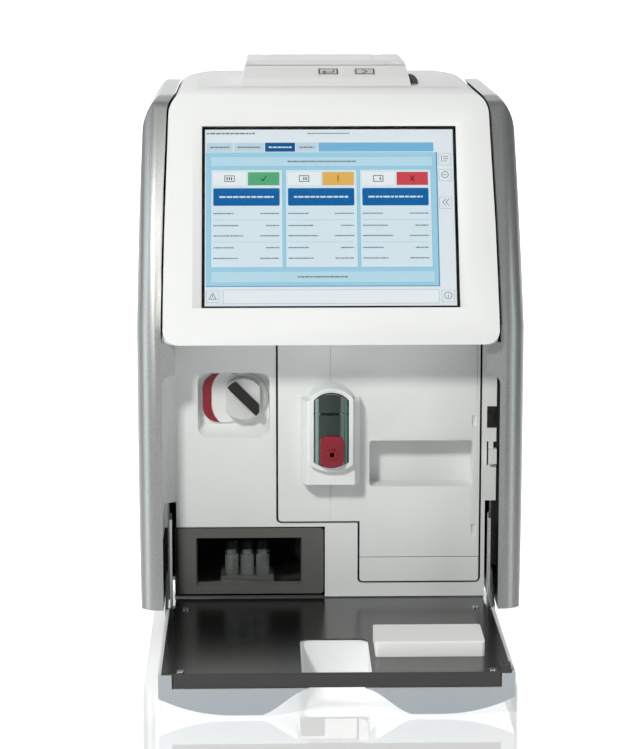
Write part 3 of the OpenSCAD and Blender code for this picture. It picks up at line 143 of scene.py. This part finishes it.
def silverLacquer():
    # ABS under metallic lacquer: aluminium flakes sparkle as a fine speckle
    # the flakes are about 0.05 mm; they are drawn larger so that they show
    flake = 0.7 * mm
    material, tree, surface, place = newMaterial(
        "Metallic lacquered ABS", **{"Metallic": 0.6, "Coat Weight": 0.2, "Coat Roughness": 0.25})
    flakes = addNode(tree, "ShaderNodeTexVoronoi", values={"Scale": 1 / flake},
                     links={"Vector": place})
    shade = addNode(tree, "ShaderNodeSeparateColor", links={"Color": flakes.outputs["Color"]})
    ramp = addRamp(tree, shade.outputs[0], [(0.0, "#9b9e9d"), (1.0, "#aaadac")])
    tree.links.new(ramp, surface.inputs["Base Color"])
    addGrain(tree, surface, place, flake, 0.003 * mm)
    addSheenChange(tree, surface, place, 30 * mm, 0.36, 0.42)
    return material


def powderCoatedSteel(name, low, high, rough=(0.32, 0.42), ior=1.5):
    # steel sheet under a dark powder coat: a faint orange-peel of 1.5 mm
    material, tree, surface, place = newMaterial(name, **{"IOR": ior})
    addTone(tree, surface, place, 40 * mm, low, high)
    addGrain(tree, surface, place, 1.5 * mm, 0.02 * mm)
    addSheenChange(tree, surface, place, 45 * mm, *rough)
    return material


def rolledSteel(name, low, high, rough=(0.28, 0.40)):
    # zinc-plated or bright steel: rolling lines lie level, 40 times longer than they are high
    material, tree, surface, place = newMaterial(name, **{"Metallic": 1.0})
    flattened = addNode(tree, "ShaderNodeMapping", values={"Scale": (1, 1, 40)},
                        links={"Vector": place})
    lines = addNode(tree, "ShaderNodeTexNoise", values={"Scale": 60.0, "Detail": 4.0},
                    links={"Vector": flattened.outputs[0]})
    ramp = addRamp(tree, lines.outputs[0], [(0.35, low), (0.65, high)])
    tree.links.new(ramp, surface.inputs["Base Color"])
    spread = addNode(tree, "ShaderNodeMapRange", values={"To Min": rough[0], "To Max": rough[1]},
                     links={"Value": lines.outputs[0]})
    tree.links.new(spread.outputs[0], surface.inputs["Roughness"])
    return material


def glossPlastic(name, low, high, rough=(0.10, 0.16)):
    # polished moulding: sharp highlights and a slight waviness
    material, tree, surface, place = newMaterial(name, **{"IOR": 1.5})
    addTone(tree, surface, place, 12 * mm, low, high)
    addGrain(tree, surface, place, 8 * mm, 0.03 * mm, detail=0.0)
    addSheenChange(tree, surface, place, 10 * mm, *rough)
    return material


def clearSheet(name, colour, rough, ior):
    # see-through sheet of glass or plastic, tinted through its thickness
    material, tree, surface, place = newMaterial(
        name, **{"Base Color": linear(colour), "Transmission Weight": 1.0, "IOR": ior})
    addSheenChange(tree, surface, place, 20 * mm, rough, rough + 0.03)
    return material


# the barrel of the sample port: its middle line, half its width, and the colours across it; the
# bright teal bands near its edges are painted light
barrel = {"middle": 0.7 * mm, "half": 14.4 * mm,
          "across": [(0.0, "#14241f"), (0.74, "#1a302b"), (0.82, "#43786b"), (0.90, "#4c8a7b"),
                     (0.96, "#0b1412")]}


def tintedAcrylicWithPaintedEdgeLight():
    # clear acrylic dyed dark teal; the light that gathers in its two side walls is painted into its
    # colour as brighter bands
    # share = |x - middle| / half, which is 0 on the middle line and 1 at the barrel's edges
    material, tree, surface, place = newMaterial(
        "Tinted acrylic with painted edge light", **{"IOR": 1.49, "Coat Weight": 0.5, "Coat Roughness": 0.03})
    axes = addNode(tree, "ShaderNodeSeparateXYZ", links={"Vector": place})
    shifted = addNode(tree, "ShaderNodeMath", operation="SUBTRACT",
                      values={1: barrel["middle"]}, links={0: axes.outputs["X"]})
    distance = addNode(tree, "ShaderNodeMath", operation="ABSOLUTE",
                       links={0: shifted.outputs[0]})
    share = addNode(tree, "ShaderNodeMath", operation="DIVIDE", values={1: barrel["half"]},
                    links={0: distance.outputs[0]})
    # painted light: brighter teal bands near the edges, darkest in the outermost band
    ramp = addRamp(tree, share.outputs[0], barrel["across"])
    tree.links.new(ramp, surface.inputs["Base Color"])
    addSheenChange(tree, surface, place, 10 * mm, 0.04, 0.07)
    return material


def litScreen():
    # colours of the picture come from the mesh; they glow, and lamps light them only faintly
    material, tree, surface, place = newMaterial(
        "Backlit LCD", **{"Roughness": 0.5, "Emission Strength": 0.86, "Specular IOR Level": 0.2})
    colour = addNode(tree, "ShaderNodeAttribute", attribute_name="picture").outputs["Color"]
    dim = addNode(tree, "ShaderNodeMix", values={"Factor": 0.88, "B": (0, 0, 0, 1)},
                  data_type="RGBA", links={"A": colour})
    tree.links.new(dim.outputs["Result"], surface.inputs["Base Color"])
    tree.links.new(colour, surface.inputs["Emission Color"])
    return material


materials = {
    "silver_panel": silverLacquer(),
    "white_cover": mouldedAbs("Moulded ABS, white", "#e9ebeb", "#edefee"),
    "white_inner": mouldedAbs("Moulded ABS, inner white", "#e2e6e4", "#e6e9e8",
                              rough=(0.44, 0.52)),
    "white_door": mouldedAbs("Semi-gloss ABS", "#e8eced", "#eef1f1", rough=(0.20, 0.26),
                             grain=0.8),
    "dark_plastic": mouldedAbs("Moulded PC, warm grey", "#4a4a46", "#52524d",
                               rough=(0.36, 0.44)),
    "black_plastic": mouldedAbs("Moulded PA, black", "#131414", "#1a1b1b", rough=(0.42, 0.5)),
    "rubber": mouldedAbs("Nitrile rubber", "#161616", "#1c1c1c", rough=(0.7, 0.8), grain=0.6),
    "sheet_steel": rolledSteel("Zinc-plated steel", "#9da1a3", "#b4b8ba"),
    "bright_steel": rolledSteel("Bright steel", "#c4c6c8", "#dcdee0", rough=(0.18, 0.28)),
    "door_sheet": powderCoatedSteel("Powder-coated steel", "#0c0e0d", "#111312",
                                    rough=(0.18, 0.26), ior=1.9),
    "touch_glass": clearSheet("Float glass", "#f4fafb", 0.02, 1.46),
    "board": mouldedAbs("Solder mask", "#1d5a34", "#246b3f", rough=(0.3, 0.4)),
    "rack_plastic": mouldedAbs("Moulded PBT, light grey", "#c9cccb", "#d2d4d3"),
    "smoked_window": clearSheet("Smoked polycarbonate", "#c3c6c4", 0.02, 1.2),
    "vial_glass": glossPlastic("Filled glass vial", "#d4dada", "#e0e4e4"),
    "red_plastic": glossPlastic("Crimson polypropylene", "#7d0f20", "#8e1426"),
    "teal_clear": tintedAcrylicWithPaintedEdgeLight(),
    "reagent_film": glossPlastic("Filled pouch film", "#b5cbd6", "#c8dbe3", rough=(0.2, 0.3)),
    "paper": mouldedAbs("Thermal paper", "#f2f2ee", "#f8f8f5", rough=(0.6, 0.7), grain=0.2),
}
materials["screen"] = materials["black_plastic"]
# finishes of single nodes that differ from the rest of their slot; the drawer's front and tray are
# lighter copies of the grey PC, painted light
nodeFinishAndPaintedLight = {
    "door_pad": mouldedAbs("Moulded PBT, bright white", "#f8f9f7", "#fcfcfb",
                           rough=(0.4, 0.46)),
    # painted light: the drawer front's grey is lightened to stand in for bounce light that does not
    # reach it
    "drawer_front": mouldedAbs("Moulded PC, grey lightened as painted bounce light", "#5b5b57", "#63635e",
                               rough=(0.36, 0.44)),
    # painted light: the tray's grey is lightened to stand in for light that does not reach into the
    # drawer
    "drawer_tray": mouldedAbs("Moulded PC, grey lightened as painted light", "#8a8c88", "#939591"),
    "vial_caps": mouldedAbs("Moulded PP, dark", "#232725", "#2b2f2d", rough=(0.3, 0.36)),
    "lock_grip": glossPlastic("Polished PA, black", "#0d0f0e", "#151716"),
}
# painted shade: the blue-grey that the door lip's downward and forward faces get
lipPaintedShade = mouldedAbs("ABS, blue-grey painted shade", "#a4abb2", "#abb2b8", rough=(0.22, 0.28),
                        grain=0.8)
lcd = litScreen()
print("materials made:", len(materials))


def dress(obj, slot, ownMaterial=None):
    # a piece of the scene gets its slot's material, or a material of its own in the same slot: a
    # finish, or a copy with painted light
    obj.data.materials.clear()
    obj.data.materials.append(ownMaterial or materials[slot])


for name, obj in nodes.items():
    obj.data.materials.clear()
    obj.data.materials.append(nodeFinishAndPaintedLight.get(name) or materials[slotOf[name]])


# welding distance, the angle under which faces are one, the angle from which an edge is sharp
merging = {"weld": 0.002 * mm, "flat": math.radians(0.6), "sharp": math.radians(35)}


def softened(node, radius):
    # a merged copy of a CAD node whose edges are rounded, which stands in its place
    mesh = nodes[node].data.copy()
    work = bmesh.new()
    work.from_mesh(mesh)
    bmesh.ops.remove_doubles(work, verts=work.verts, dist=merging["weld"])
    bmesh.ops.dissolve_limit(work, angle_limit=merging["flat"], verts=work.verts,
                             edges=work.edges)
    work.to_mesh(mesh)
    work.free()
    mesh.shade_smooth()
    mesh.set_sharp_from_angle(angle=merging["sharp"])
    copy = bpy.data.objects.new(node + "Soft", mesh)
    bpy.context.scene.collection.objects.link(copy)
    if radius:
        bevel = copy.modifiers.new("edgeRound", "BEVEL")
        bevel.width = radius * mm
        bevel.segments = 3
        bevel.limit_method = "ANGLE"
        bevel.angle_limit = merging["sharp"]
        bevel.harden_normals = True
    dress(copy, slotOf[node], nodeFinishAndPaintedLight.get(node))
    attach(copy, bodyOf[node])
    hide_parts(node)
    return copy


# edge radius of each moulding, in millimetres; 0 merges the copy and leaves its edges
edgeRounds = {
    "top_cover": 1.6, "side_panel_left": 1.2, "side_panel_right": 1.2, "inner_front_frame": 0.5,
    "pack_front": 0.5, "pack_foot": 0.5, "port_housing": 0.9, "drawer_front": 0.7,
    "door_pad": 1.2, "door_plate": 0.3, "door_shell": 0.9, "printer_base": 0.8,
    "printer_lid": 0.6, "lock_recess": 0, "lock_dial": 0.6, "lock_grip": 0.5,
    "fill_port": 0.5, "plinth": 0.8, "return_button": 0.3, "next_button": 0.3,
    "release_lever": 0.4,
}
rounded = {node: softened(node, radius) for node, radius in edgeRounds.items()}
print("mouldings rounded:", len(edgeRounds))

# painted shade: the door's lip is coloured blue-grey for the shade on it, apart from the faces that
# look up while the door is open
doorLip = {"deep": 22 * mm, "looksUp": 0.3}
door = rounded["door_shell"].data
door.materials.append(lipPaintedShade)
door.update()
lipEnd = min(v.co.y for v in door.vertices) + doorLip["deep"]
for polygon in door.polygons:
    # lacquered marks the faces that get the blue-grey painted shade; they have no lacquer
    lacquered = polygon.center.y < lipEnd and polygon.normal.z < doorLip["looksUp"]
    polygon.material_index = 1 if lacquered else 0
# the count is of faces with the painted shade
print("door faces lacquered:", sum(p.material_index for p in door.polygons),
      "of", len(door.polygons))


def onFace(points):
    # points (x, s, n) on the display face, with s up the slope and n out of it, as frame points
    p = np.asarray(points, float)
    lean = face["lean"]
    up = np.array([0, math.sin(lean), math.cos(lean)])
    out = np.array([0, -math.cos(lean), math.sin(lean)])
    start = np.array([0, face["y"], face["z"]])
    return start + p[:, :1] * np.array([1, 0, 0]) + p[:, 1:2] * up + p[:, 2:3] * out


def roundedRect(x0, y0, x1, y1, r, steps=5):
    # corners of a rectangle with quarter circles of radius r, counter-clockwise
    turn = np.linspace(0, math.pi / 2, steps + 1)
    centres = [(x1 - r, y1 - r, 0), (x0 + r, y1 - r, 1), (x0 + r, y0 + r, 2), (x1 - r, y0 + r, 3)]
    parts = [np.stack([cx + r * np.cos(turn + k * math.pi / 2),
                       cy + r * np.sin(turn + k * math.pi / 2)], 1) for cx, cy, k in centres]
    return np.concatenate(parts)


def plainRect(x0, y0, x1, y1):
    # corners of a rectangle, counter-clockwise
    return np.array([[x0, y0], [x1, y0], [x1, y1], [x0, y1]], float)


def strokeLine(points, width):
    # a thin strip of quads along a line, as one outline for each stretch
    strips = []
    for a, b in zip(points[:-1], points[1:]):
        a, b = np.array(a, float), np.array(b, float)
        along = (b - a) / np.linalg.norm(b - a)
        side = np.array([-along[1], along[0]]) * width / 2
        tip = along * width / 2
        strips.append(np.array([a - side - tip, b - side + tip, b + side + tip, a + side - tip]))
    return strips


# a line of bars: least and greatest length in units, the unit and the gap in bar heights
barLine = {"long": (2.2, 6.0), "unit": 0.62, "gap": 0.55}


class Picture:
    # flat coloured outlines in layers; x runs right and y down, in millimetres of the screen
    def __init__(self):
        self.outlines, self.colours, self.layers = [], [], []

    def add(self, outline, colour, layer):
        self.outlines.append(np.asarray(outline, float))
        self.colours.append(linear(colour))
        self.layers.append(layer)

    def bars(self, x, y, length, high, colour, layer, seed, right=False):
        # a line of bars from x, or up to x where right is set
        draw = random.Random(seed)
        at = 0.0
        spans = []
        while at < length:
            long = min(draw.uniform(*barLine["long"]) * high * barLine["unit"], length - at)
            spans.append((at, at + long))
            at += long + high * barLine["gap"]
        shift = x - (spans[-1][1] if right else 0)
        for a, b in spans:
            self.add(plainRect(shift + a, y - high / 2, shift + b, y + high / 2), colour, layer)

    def mesh(self, name, place, step):
        # one mesh of all outlines, with each layer a step above the one below
        vertices, faces, shades, start = [], [], [], 0
        for outline, colour, layer in zip(self.outlines, self.colours, self.layers):
            flat = place(outline, layer * step)
            vertices.append(flat)
            faces.append(list(range(start, start + len(flat))))
            shades.append(np.tile(colour, (len(flat), 1)))
            start += len(flat)
        mesh = bpy.data.meshes.new(name)
        mesh.from_pydata(np.concatenate(vertices).tolist(), [], faces)
        layer = mesh.color_attributes.new("picture", "FLOAT_COLOR", "CORNER")
        layer.data.foreach_set("color", np.concatenate(shades).astype(np.float32).ravel())
        obj = bpy.data.objects.new(name, mesh)
        bpy.context.scene.collection.objects.link(obj)
        return obj


def turnedFaces(obj, towards):
    # faces whose normal points away from the given direction are turned round
    work = bmesh.new()
    work.from_mesh(obj.data)
    work.normal_update()
    wrong = [f for f in work.faces if f.normal.dot(Vector(towards)) < 0]
    bmesh.ops.reverse_faces(work, faces=wrong)
    work.to_mesh(obj.data)
    work.free()


# colours of the picture on the display
display = {
    "paper": "#f3f7fb", "strip": "#7fc0e6", "area": "#a9dcf2", "edge": "#5f9fc4",
    "header": "#c8e8f7", "headerEdge": "#9dcfe6", "card": "#e8f4fb", "cardEdge": "#8cc4de",
    "tile": "#fbfdfe", "button": "#0f69ad", "buttonBars": "#eaf4fb", "tabOn": "#0d5c9c",
    "tabOff": "#cfe2ee", "tabBars": "#f4fafd", "key": "#f3f7fa", "entry": "#fafcfd",
    "ink": "#71808a", "line": "#b9cfdb", "good": "#5fb581", "warn": "#f6bd60",
    "bad": "#e04b57", "mark": "#1d2a22",
}
# places on the picture, in millimetres from its upper left corner
layout = {
    "rim": 0.4, "topLeft": (1.4, 41), "topMiddle": (87, 36), "topLine": 3.6,
    "tabs": [(1.4, 23.6), (24.6, 50.4), (51.0, 76.6), (77.4, 95.8)], "openTab": 2,
    "tabTop": 12.0, "tabLow": 20.2, "tabLine": 16.2, "stripStart": 96.5, "stripEnd": 194.5,
    "area": (0.8, 20.8, 196.4, 140.6), "shade": (1.0, 0.8),
    "headers": [(24.6, 33.8, 70, 128), (127.6, 138.0, 78, 120)], "headerX": (4.6, 193.4),
    "cards": [(5.2, "good"), (68.4, "warn"), (131.4, "bad")],
    "keys": [(198.4, 22.0), (198.4, 36.4), (198.4, 61.4), (1.2, 144.6), (198.6, 144.6)],
    "entry": (15.4, 144.0, 196.6, 156.4),
}


def rimmedRect(pic, corners, edge, fill, layer):
    # a rectangle with a thin edge of another colour
    x0, y0, x1, y1 = corners
    rim = layout["rim"]
    pic.add(plainRect(x0, y0, x1, y1), edge, layer)
    pic.add(plainRect(x0 + rim, y0 + rim, x1 - rim, y1 - rim), fill, layer + 1)


def drawScreen():
    # the whole picture: two lines, tabs, an area with headers and cards, keys and an entry
    c, at = display, layout
    pic = Picture()
    pic.add(plainRect(0, 0, screen["wide"] / mm, screen["high"] / mm), c["paper"], 0)
    for seed, (start, high) in enumerate([("topLeft", 1.3), ("topMiddle", 0.9)], 1):
        x, long = at[start]
        pic.bars(x, at["topLine"], long, high, c["ink"], 1, seed)
    top, low = at["tabTop"], at["tabLow"]
    pic.add(plainRect(at["stripStart"], top, at["stripEnd"], low), c["strip"], 1)
    for i, (a, b) in enumerate(at["tabs"]):
        isOpen = i == at["openTab"]
        pic.add(plainRect(a, top, b, low), c["tabOn"] if isOpen else c["tabOff"], 1)
        pic.bars(a + 3, at["tabLine"], b - a - 6, 1.2, c["tabBars"] if isOpen else c["ink"],
                 2, 10 + i)
    x0, y0, x1, y1 = at["area"]
    pic.add(plainRect(x0, y0, x1 + at["shade"][0], y1 + at["shade"][1]), c["edge"], 1)
    pic.add(plainRect(x0, y0, x1, y1), c["area"], 2)
    for y0, y1, a, b in at["headers"]:
        rimmedRect(pic, (at["headerX"][0], y0, at["headerX"][1], y1), c["headerEdge"],
                   c["header"], 3)
        pic.bars(a, (y0 + y1) / 2, b - a, 1.2, c["ink"], 5, int(y0))
    for i, (x, tone) in enumerate(at["cards"]):
        drawCard(pic, x, tone, i)
    for kind, (x, y) in enumerate(at["keys"]):
        drawKey(pic, x, y, kind)
    rimmedRect(pic, at["entry"], c["line"], c["entry"], 1)
    return pic


def drawKey(pic, x, y, kind):
    # a square key with a small sign: lines, ring, arrows, triangle or ring with a stroke
    side = 10.8
    rimmedRect(pic, (x, y, x + side, y + side), display["line"], display["key"], 1)
    cx, cy = x + 5.4, y + 5.0
    turn = np.linspace(0, 2 * math.pi, 25)
    ring = np.stack([np.cos(turn), np.sin(turn)], 1)
    signs = [
        [[(-2.6, -2.6), (-2.6, 2.6)], [(-1, -2), (2.8, -2)], [(-1, 0), (2.8, 0)],
         [(-1, 2), (1.4, 2)]],
        [2.8 * ring, [(-1.2, 0), (1.2, 0)]],
        [[(0, -2.8), (-2.6, 0), (0, 2.8)], [(2.8, -2.8), (0.2, 0), (2.8, 2.8)]],
        [[(-3, 2.6), (0, -2.8), (3, 2.6), (-3, 2.6)], [(0, -0.8), (0, 1)]],
        [3 * ring, [(0, -1), (0, 1.6)]],
    ]
    for line in signs[kind]:
        for strip in strokeLine(np.array(line) + [cx, cy], 0.55):
            pic.add(strip, display["ink"], 3)


# one card, in millimetres from its left edge and the picture's top
card = {"wide": 60.2, "top": 36.8, "low": 124.2, "signTile": (1.6, 29.6),
        "toneTile": (31.2, 57.8), "tiles": (38.9, 50.8), "button": (1.8, 53.4, 58.0, 69.2),
        "buttonLine": 61.3, "signAt": (15.6, 44.8), "markAt": 44.5, "right": 57.4,
        "lines": [76.2, 87.0, 96.2, 106.8, 116.2], "rules": [81.8, 101.6]}


def drawCard(pic, x, tone, index):
    # a sign, a coloured tile with a mark, a button and five lines
    c, rim = display, layout["rim"]
    top, low = card["tiles"]
    rimmedRect(pic, (x - rim, card["top"] - rim, x + card["wide"] + rim, card["low"] + rim),
               c["cardEdge"], c["card"], 3)
    for (a, b), colour in ((card["signTile"], c["tile"]), (card["toneTile"], c[tone])):
        pic.add(plainRect(x + a, top, x + b, low), colour, 5)
    x0, y0, x1, y1 = card["button"]
    pic.add(roundedRect(x + x0, y0, x + x1, y1, 1.2), c["button"], 5)
    pic.bars(x + 7, card["buttonLine"], 46, 1.5, c["buttonBars"], 6, 20 + index)
    cx, cy = x + card["signAt"][0], card["signAt"][1]
    boxLine = [(-4, -2.6), (4, -2.6), (4, 2.6), (-4, 2.6), (-4, -2.6)]
    for strip in strokeLine(np.array(boxLine) + [cx, cy], 0.6):
        pic.add(strip, c["mark"], 6)
    for k in range(index, 3):
        left = cx - 2.6 + 1.9 * k
        pic.add(plainRect(left, cy - 1.3, left + 1, cy + 1.3), c["mark"], 6)
    marks = {
        "good": [[(-2, 0.2), (-0.6, 2), (2.2, -2.4)]],
        "warn": [[(0, -2.6), (0, 0.8)], [(0, 2.2), (0, 2.5)]],
        "bad": [[(-1.6, -2.2), (1.6, 2.2)], [(-1.6, 2.2), (1.6, -2.2)]],
    }
    for line in marks[tone]:
        for strip in strokeLine(np.array(line) + [x + card["markAt"], cy], 0.75):
            pic.add(strip, c["mark"], 6)
    for k, y in enumerate(card["lines"]):
        pic.bars(x + 2, y, 17 + 4 * (k % 3), 1.0, c["ink"], 5, 40 + 10 * index + k)
        pic.bars(x + card["right"], y, 11 + 5 * ((k + 1) % 2), 1.0, c["ink"], 5,
                 80 + 10 * index + k, right=True)
    for y in card["rules"]:
        pic.add(plainRect(x + 2, y, x + card["right"], y + 0.35), c["line"], 5)


def screenPlace(outline, depth):
    # picture points, in millimetres right and down, as frame points on the display
    x = outline[:, 0] * mm - screen["wide"] / 2
    s = screen["up"] + screen["high"] - outline[:, 1] * mm
    n = np.full(len(outline), screen["depth"] + depth)
    return onFace(np.stack([x, s, n], 1))


# the touch glass: its border beyond the picture, its ends up the slope, its two faces
touchGlass = {"border": 2.4 * mm, "low": 33 * mm, "high": 196.2 * mm, "back": -3.5 * mm,
              "front": -2.2 * mm}


def coverGlass():
    # the touch glass as a closed slab, just clear of the picture behind it
    half = screen["wide"] / 2 + touchGlass["border"]
    flat = plainRect(-half, touchGlass["low"], half, touchGlass["high"])
    both = [np.column_stack([flat, np.full(4, touchGlass[n])]) for n in ("back", "front")]
    mesh = bpy.data.meshes.new("coverGlass")
    sides = [(i, (i + 1) % 4, (i + 1) % 4 + 4, i + 4) for i in range(4)]
    mesh.from_pydata(onFace(np.concatenate(both)).tolist(), [],
                     [(3, 2, 1, 0), (4, 5, 6, 7)] + sides)
    glass = bpy.data.objects.new("coverGlass", mesh)
    bpy.context.scene.collection.objects.link(glass)
    dress(glass, "touch_glass")
    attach(glass, "base")
    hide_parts("touch_glass")


coverGlass()
screenPicture = drawScreen().mesh("screenPicture", screenPlace, 0.06 * mm)
turnedFaces(screenPicture, (0, -math.cos(face["lean"]), math.sin(face["lean"])))
screenPicture.data.materials.append(lcd)
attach(screenPicture, "base")
print("screen drawn:", len(screenPicture.data.polygons), "faces")


# outlines and signs on the two printer keys, in millimetres on the key's face; thick and
# normal are the key's own thickness and the way it faces
keySigns = {
    "wide": 16.5, "high": 9.0, "inset": 0.6, "line": 0.9, "lift": 0.06, "ink": "#202020",
    "thick": 2.0, "normal": (0.47, 0.88),
    "signs": {
        "return_button": [[(4.8, -2.2), (4.8, 1.2), (-4.6, 1.2)],
                          [(-2.4, -0.8), (-4.8, 1.2), (-2.4, 3.2)]],
        "next_button": [[(-1.8, -2.4), (2.0, 0.2), (-1.8, 2.8)]],
    },
}


def drawKeySigns():
    w, h = keySigns["wide"] / 2 - keySigns["inset"], keySigns["high"] / 2 - keySigns["inset"]
    border = [(-w, -h), (w, -h), (w, h), (-w, h), (-w, -h)]
    thick = keySigns["thick"] * mm
    for node, lines in keySigns["signs"].items():
        a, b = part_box(node)
        corners = np.array([v.co for v in nodes[node].data.vertices])
        # the key's slope is that of its box without its thickness
        slope = math.atan2(b.z - a.z - thick * keySigns["normal"][1],
                           b.y - a.y - thick * keySigns["normal"][0])
        out = np.array([0, -math.sin(slope), math.cos(slope)])
        up = np.array([0, math.cos(slope), math.sin(slope)])
        top = (corners @ out).max() + keySigns["lift"] * mm
        middle = np.array([(a.x + b.x) / 2, (a.y + b.y) / 2, (a.z + b.z) / 2])
        middle = middle + (top - middle @ out) * out
        pic = Picture()
        for line in [border] + lines:
            for strip in strokeLine(line, keySigns["line"]):
                pic.add(strip, keySigns["ink"], 0)

        def place(outline, depth):
            return middle + outline[:, :1] * mm * np.array([1, 0, 0]) - outline[:, 1:2] * mm * up

        sign = pic.mesh(node + "Sign", place, 0)
        turnedFaces(sign, out)
        dress(sign, "black_plastic")
        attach(sign, bodyOf[node])


drawKeySigns()
print("key signs drawn")

# camera: the photograph's own, worked out from the display's corners and the door's edges
cameraSet = {"place": (-0.058, -2.309, 0.6336), "down": 10.35, "right": 1.30, "lens": 124.97,
             "sensor": 36, "nearest": 0.05}
camera = bpy.data.objects.new("camera", bpy.data.cameras.new("camera"))
camera.location = cameraSet["place"]
camera.rotation_euler = (math.radians(90 - cameraSet["down"]), 0, math.radians(-cameraSet["right"]))
camera.data.lens = cameraSet["lens"]
camera.data.sensor_fit = "VERTICAL"
camera.data.sensor_height = cameraSet["sensor"]
camera.data.clip_start = cameraSet["nearest"]
bpy.context.scene.collection.objects.link(camera)
bpy.context.scene.camera = camera

# soft boxes, in metres and watts, all aimed at one point in the middle of the part
aim = Vector((0, -0.05, 0.25))
softBoxes = {
    "key": {"place": (-0.65, -1.73, 1.34), "size": (0.25, 0.25), "power": 24.8,
            "colour": "#fffdf8"},
    "leftFill": {"place": (-2.0, -0.9, 0.8), "size": (1.0, 1.6), "power": 15.5,
                 "colour": "#f6faff"},
    "rightFill": {"place": (1.9, -1.6, 0.7), "size": (0.8, 1.4), "power": 9.2,
                  "colour": "#f8fbff"},
    "top": {"place": (0.0, 0.5, 2.2), "size": (1.4, 1.0), "power": 5.8, "colour": "#ffffff"},
}
for name, box in softBoxes.items():
    lamp = bpy.data.lights.new(name, "AREA")
    lamp.shape = "RECTANGLE"
    lamp.size, lamp.size_y = box["size"]
    lamp.energy = box["power"]
    lamp.color = linear(box["colour"])[:3]
    light = bpy.data.objects.new(name, lamp)
    light.location = box["place"]
    light.rotation_euler = (aim - Vector(box["place"])).to_track_quat("-Z", "Y").to_euler()
    bpy.context.scene.collection.objects.link(light)

# the world gives no light: the soft boxes and the glowing sweep light the part
world = bpy.data.worlds.new("studio")
bpy.context.scene.world = world
world.use_nodes = True
world.node_tree.nodes["Background"].inputs["Strength"].default_value = 0.0
bpy.context.scene.view_settings.view_transform = "Standard"


# the sweep: a glossy floor and a lit wall behind it, in metres
stage = {"front": -3.4, "back": 2.2, "radius": 0.9, "wide": 4.0, "top": 3.2, "turnSteps": 16,
         "colour": "#f2f3f3", "mirror": 0.42, "floorGlow": 0.34, "wallGlow": 0.85}


def studioSweep():
    # floor that curves up behind: a straight run, a quarter circle of radius r, a wall
    r, back = stage["radius"], stage["back"]
    turn = np.linspace(0, math.pi / 2, stage["turnSteps"] + 1)[1:]
    y = np.concatenate([[stage["front"], back - r], back - r + r * np.sin(turn), [back]])
    z = np.concatenate([[0.0, 0.0], r - r * np.cos(turn), [stage["top"]]])
    x = np.array([-stage["wide"], stage["wide"]])
    grid = np.stack([np.repeat(x, len(y)), np.tile(y, 2), np.tile(z, 2)], 1)
    n = len(y)
    faces = [(i, n + i, n + i + 1, i + 1) for i in range(n - 1)]
    mesh = bpy.data.meshes.new("studioSweep")
    mesh.from_pydata(grid.tolist(), [], faces)
    mesh.shade_smooth()
    sweep = bpy.data.objects.new("studioSweep", mesh)
    bpy.context.scene.collection.objects.link(sweep)
    for name, rough, mirror, glow in (
            ("Polished acrylic floor", 0.03, stage["mirror"], stage["floorGlow"]),
            ("Lit paper wall", 0.6, 0.0, stage["wallGlow"])):
        made = newMaterial(
            name, **{"Base Color": linear(stage["colour"]), "Roughness": rough, "IOR": 1.5,
                     "Metallic": mirror, "Emission Color": linear("#ffffff"),
                     "Emission Strength": glow})
        mesh.materials.append(made[0])
    # the first face is the straight run of floor
    for index, polygon in enumerate(mesh.polygons):
        polygon.material_index = min(index, 1)


studioSweep()
print("stage set")
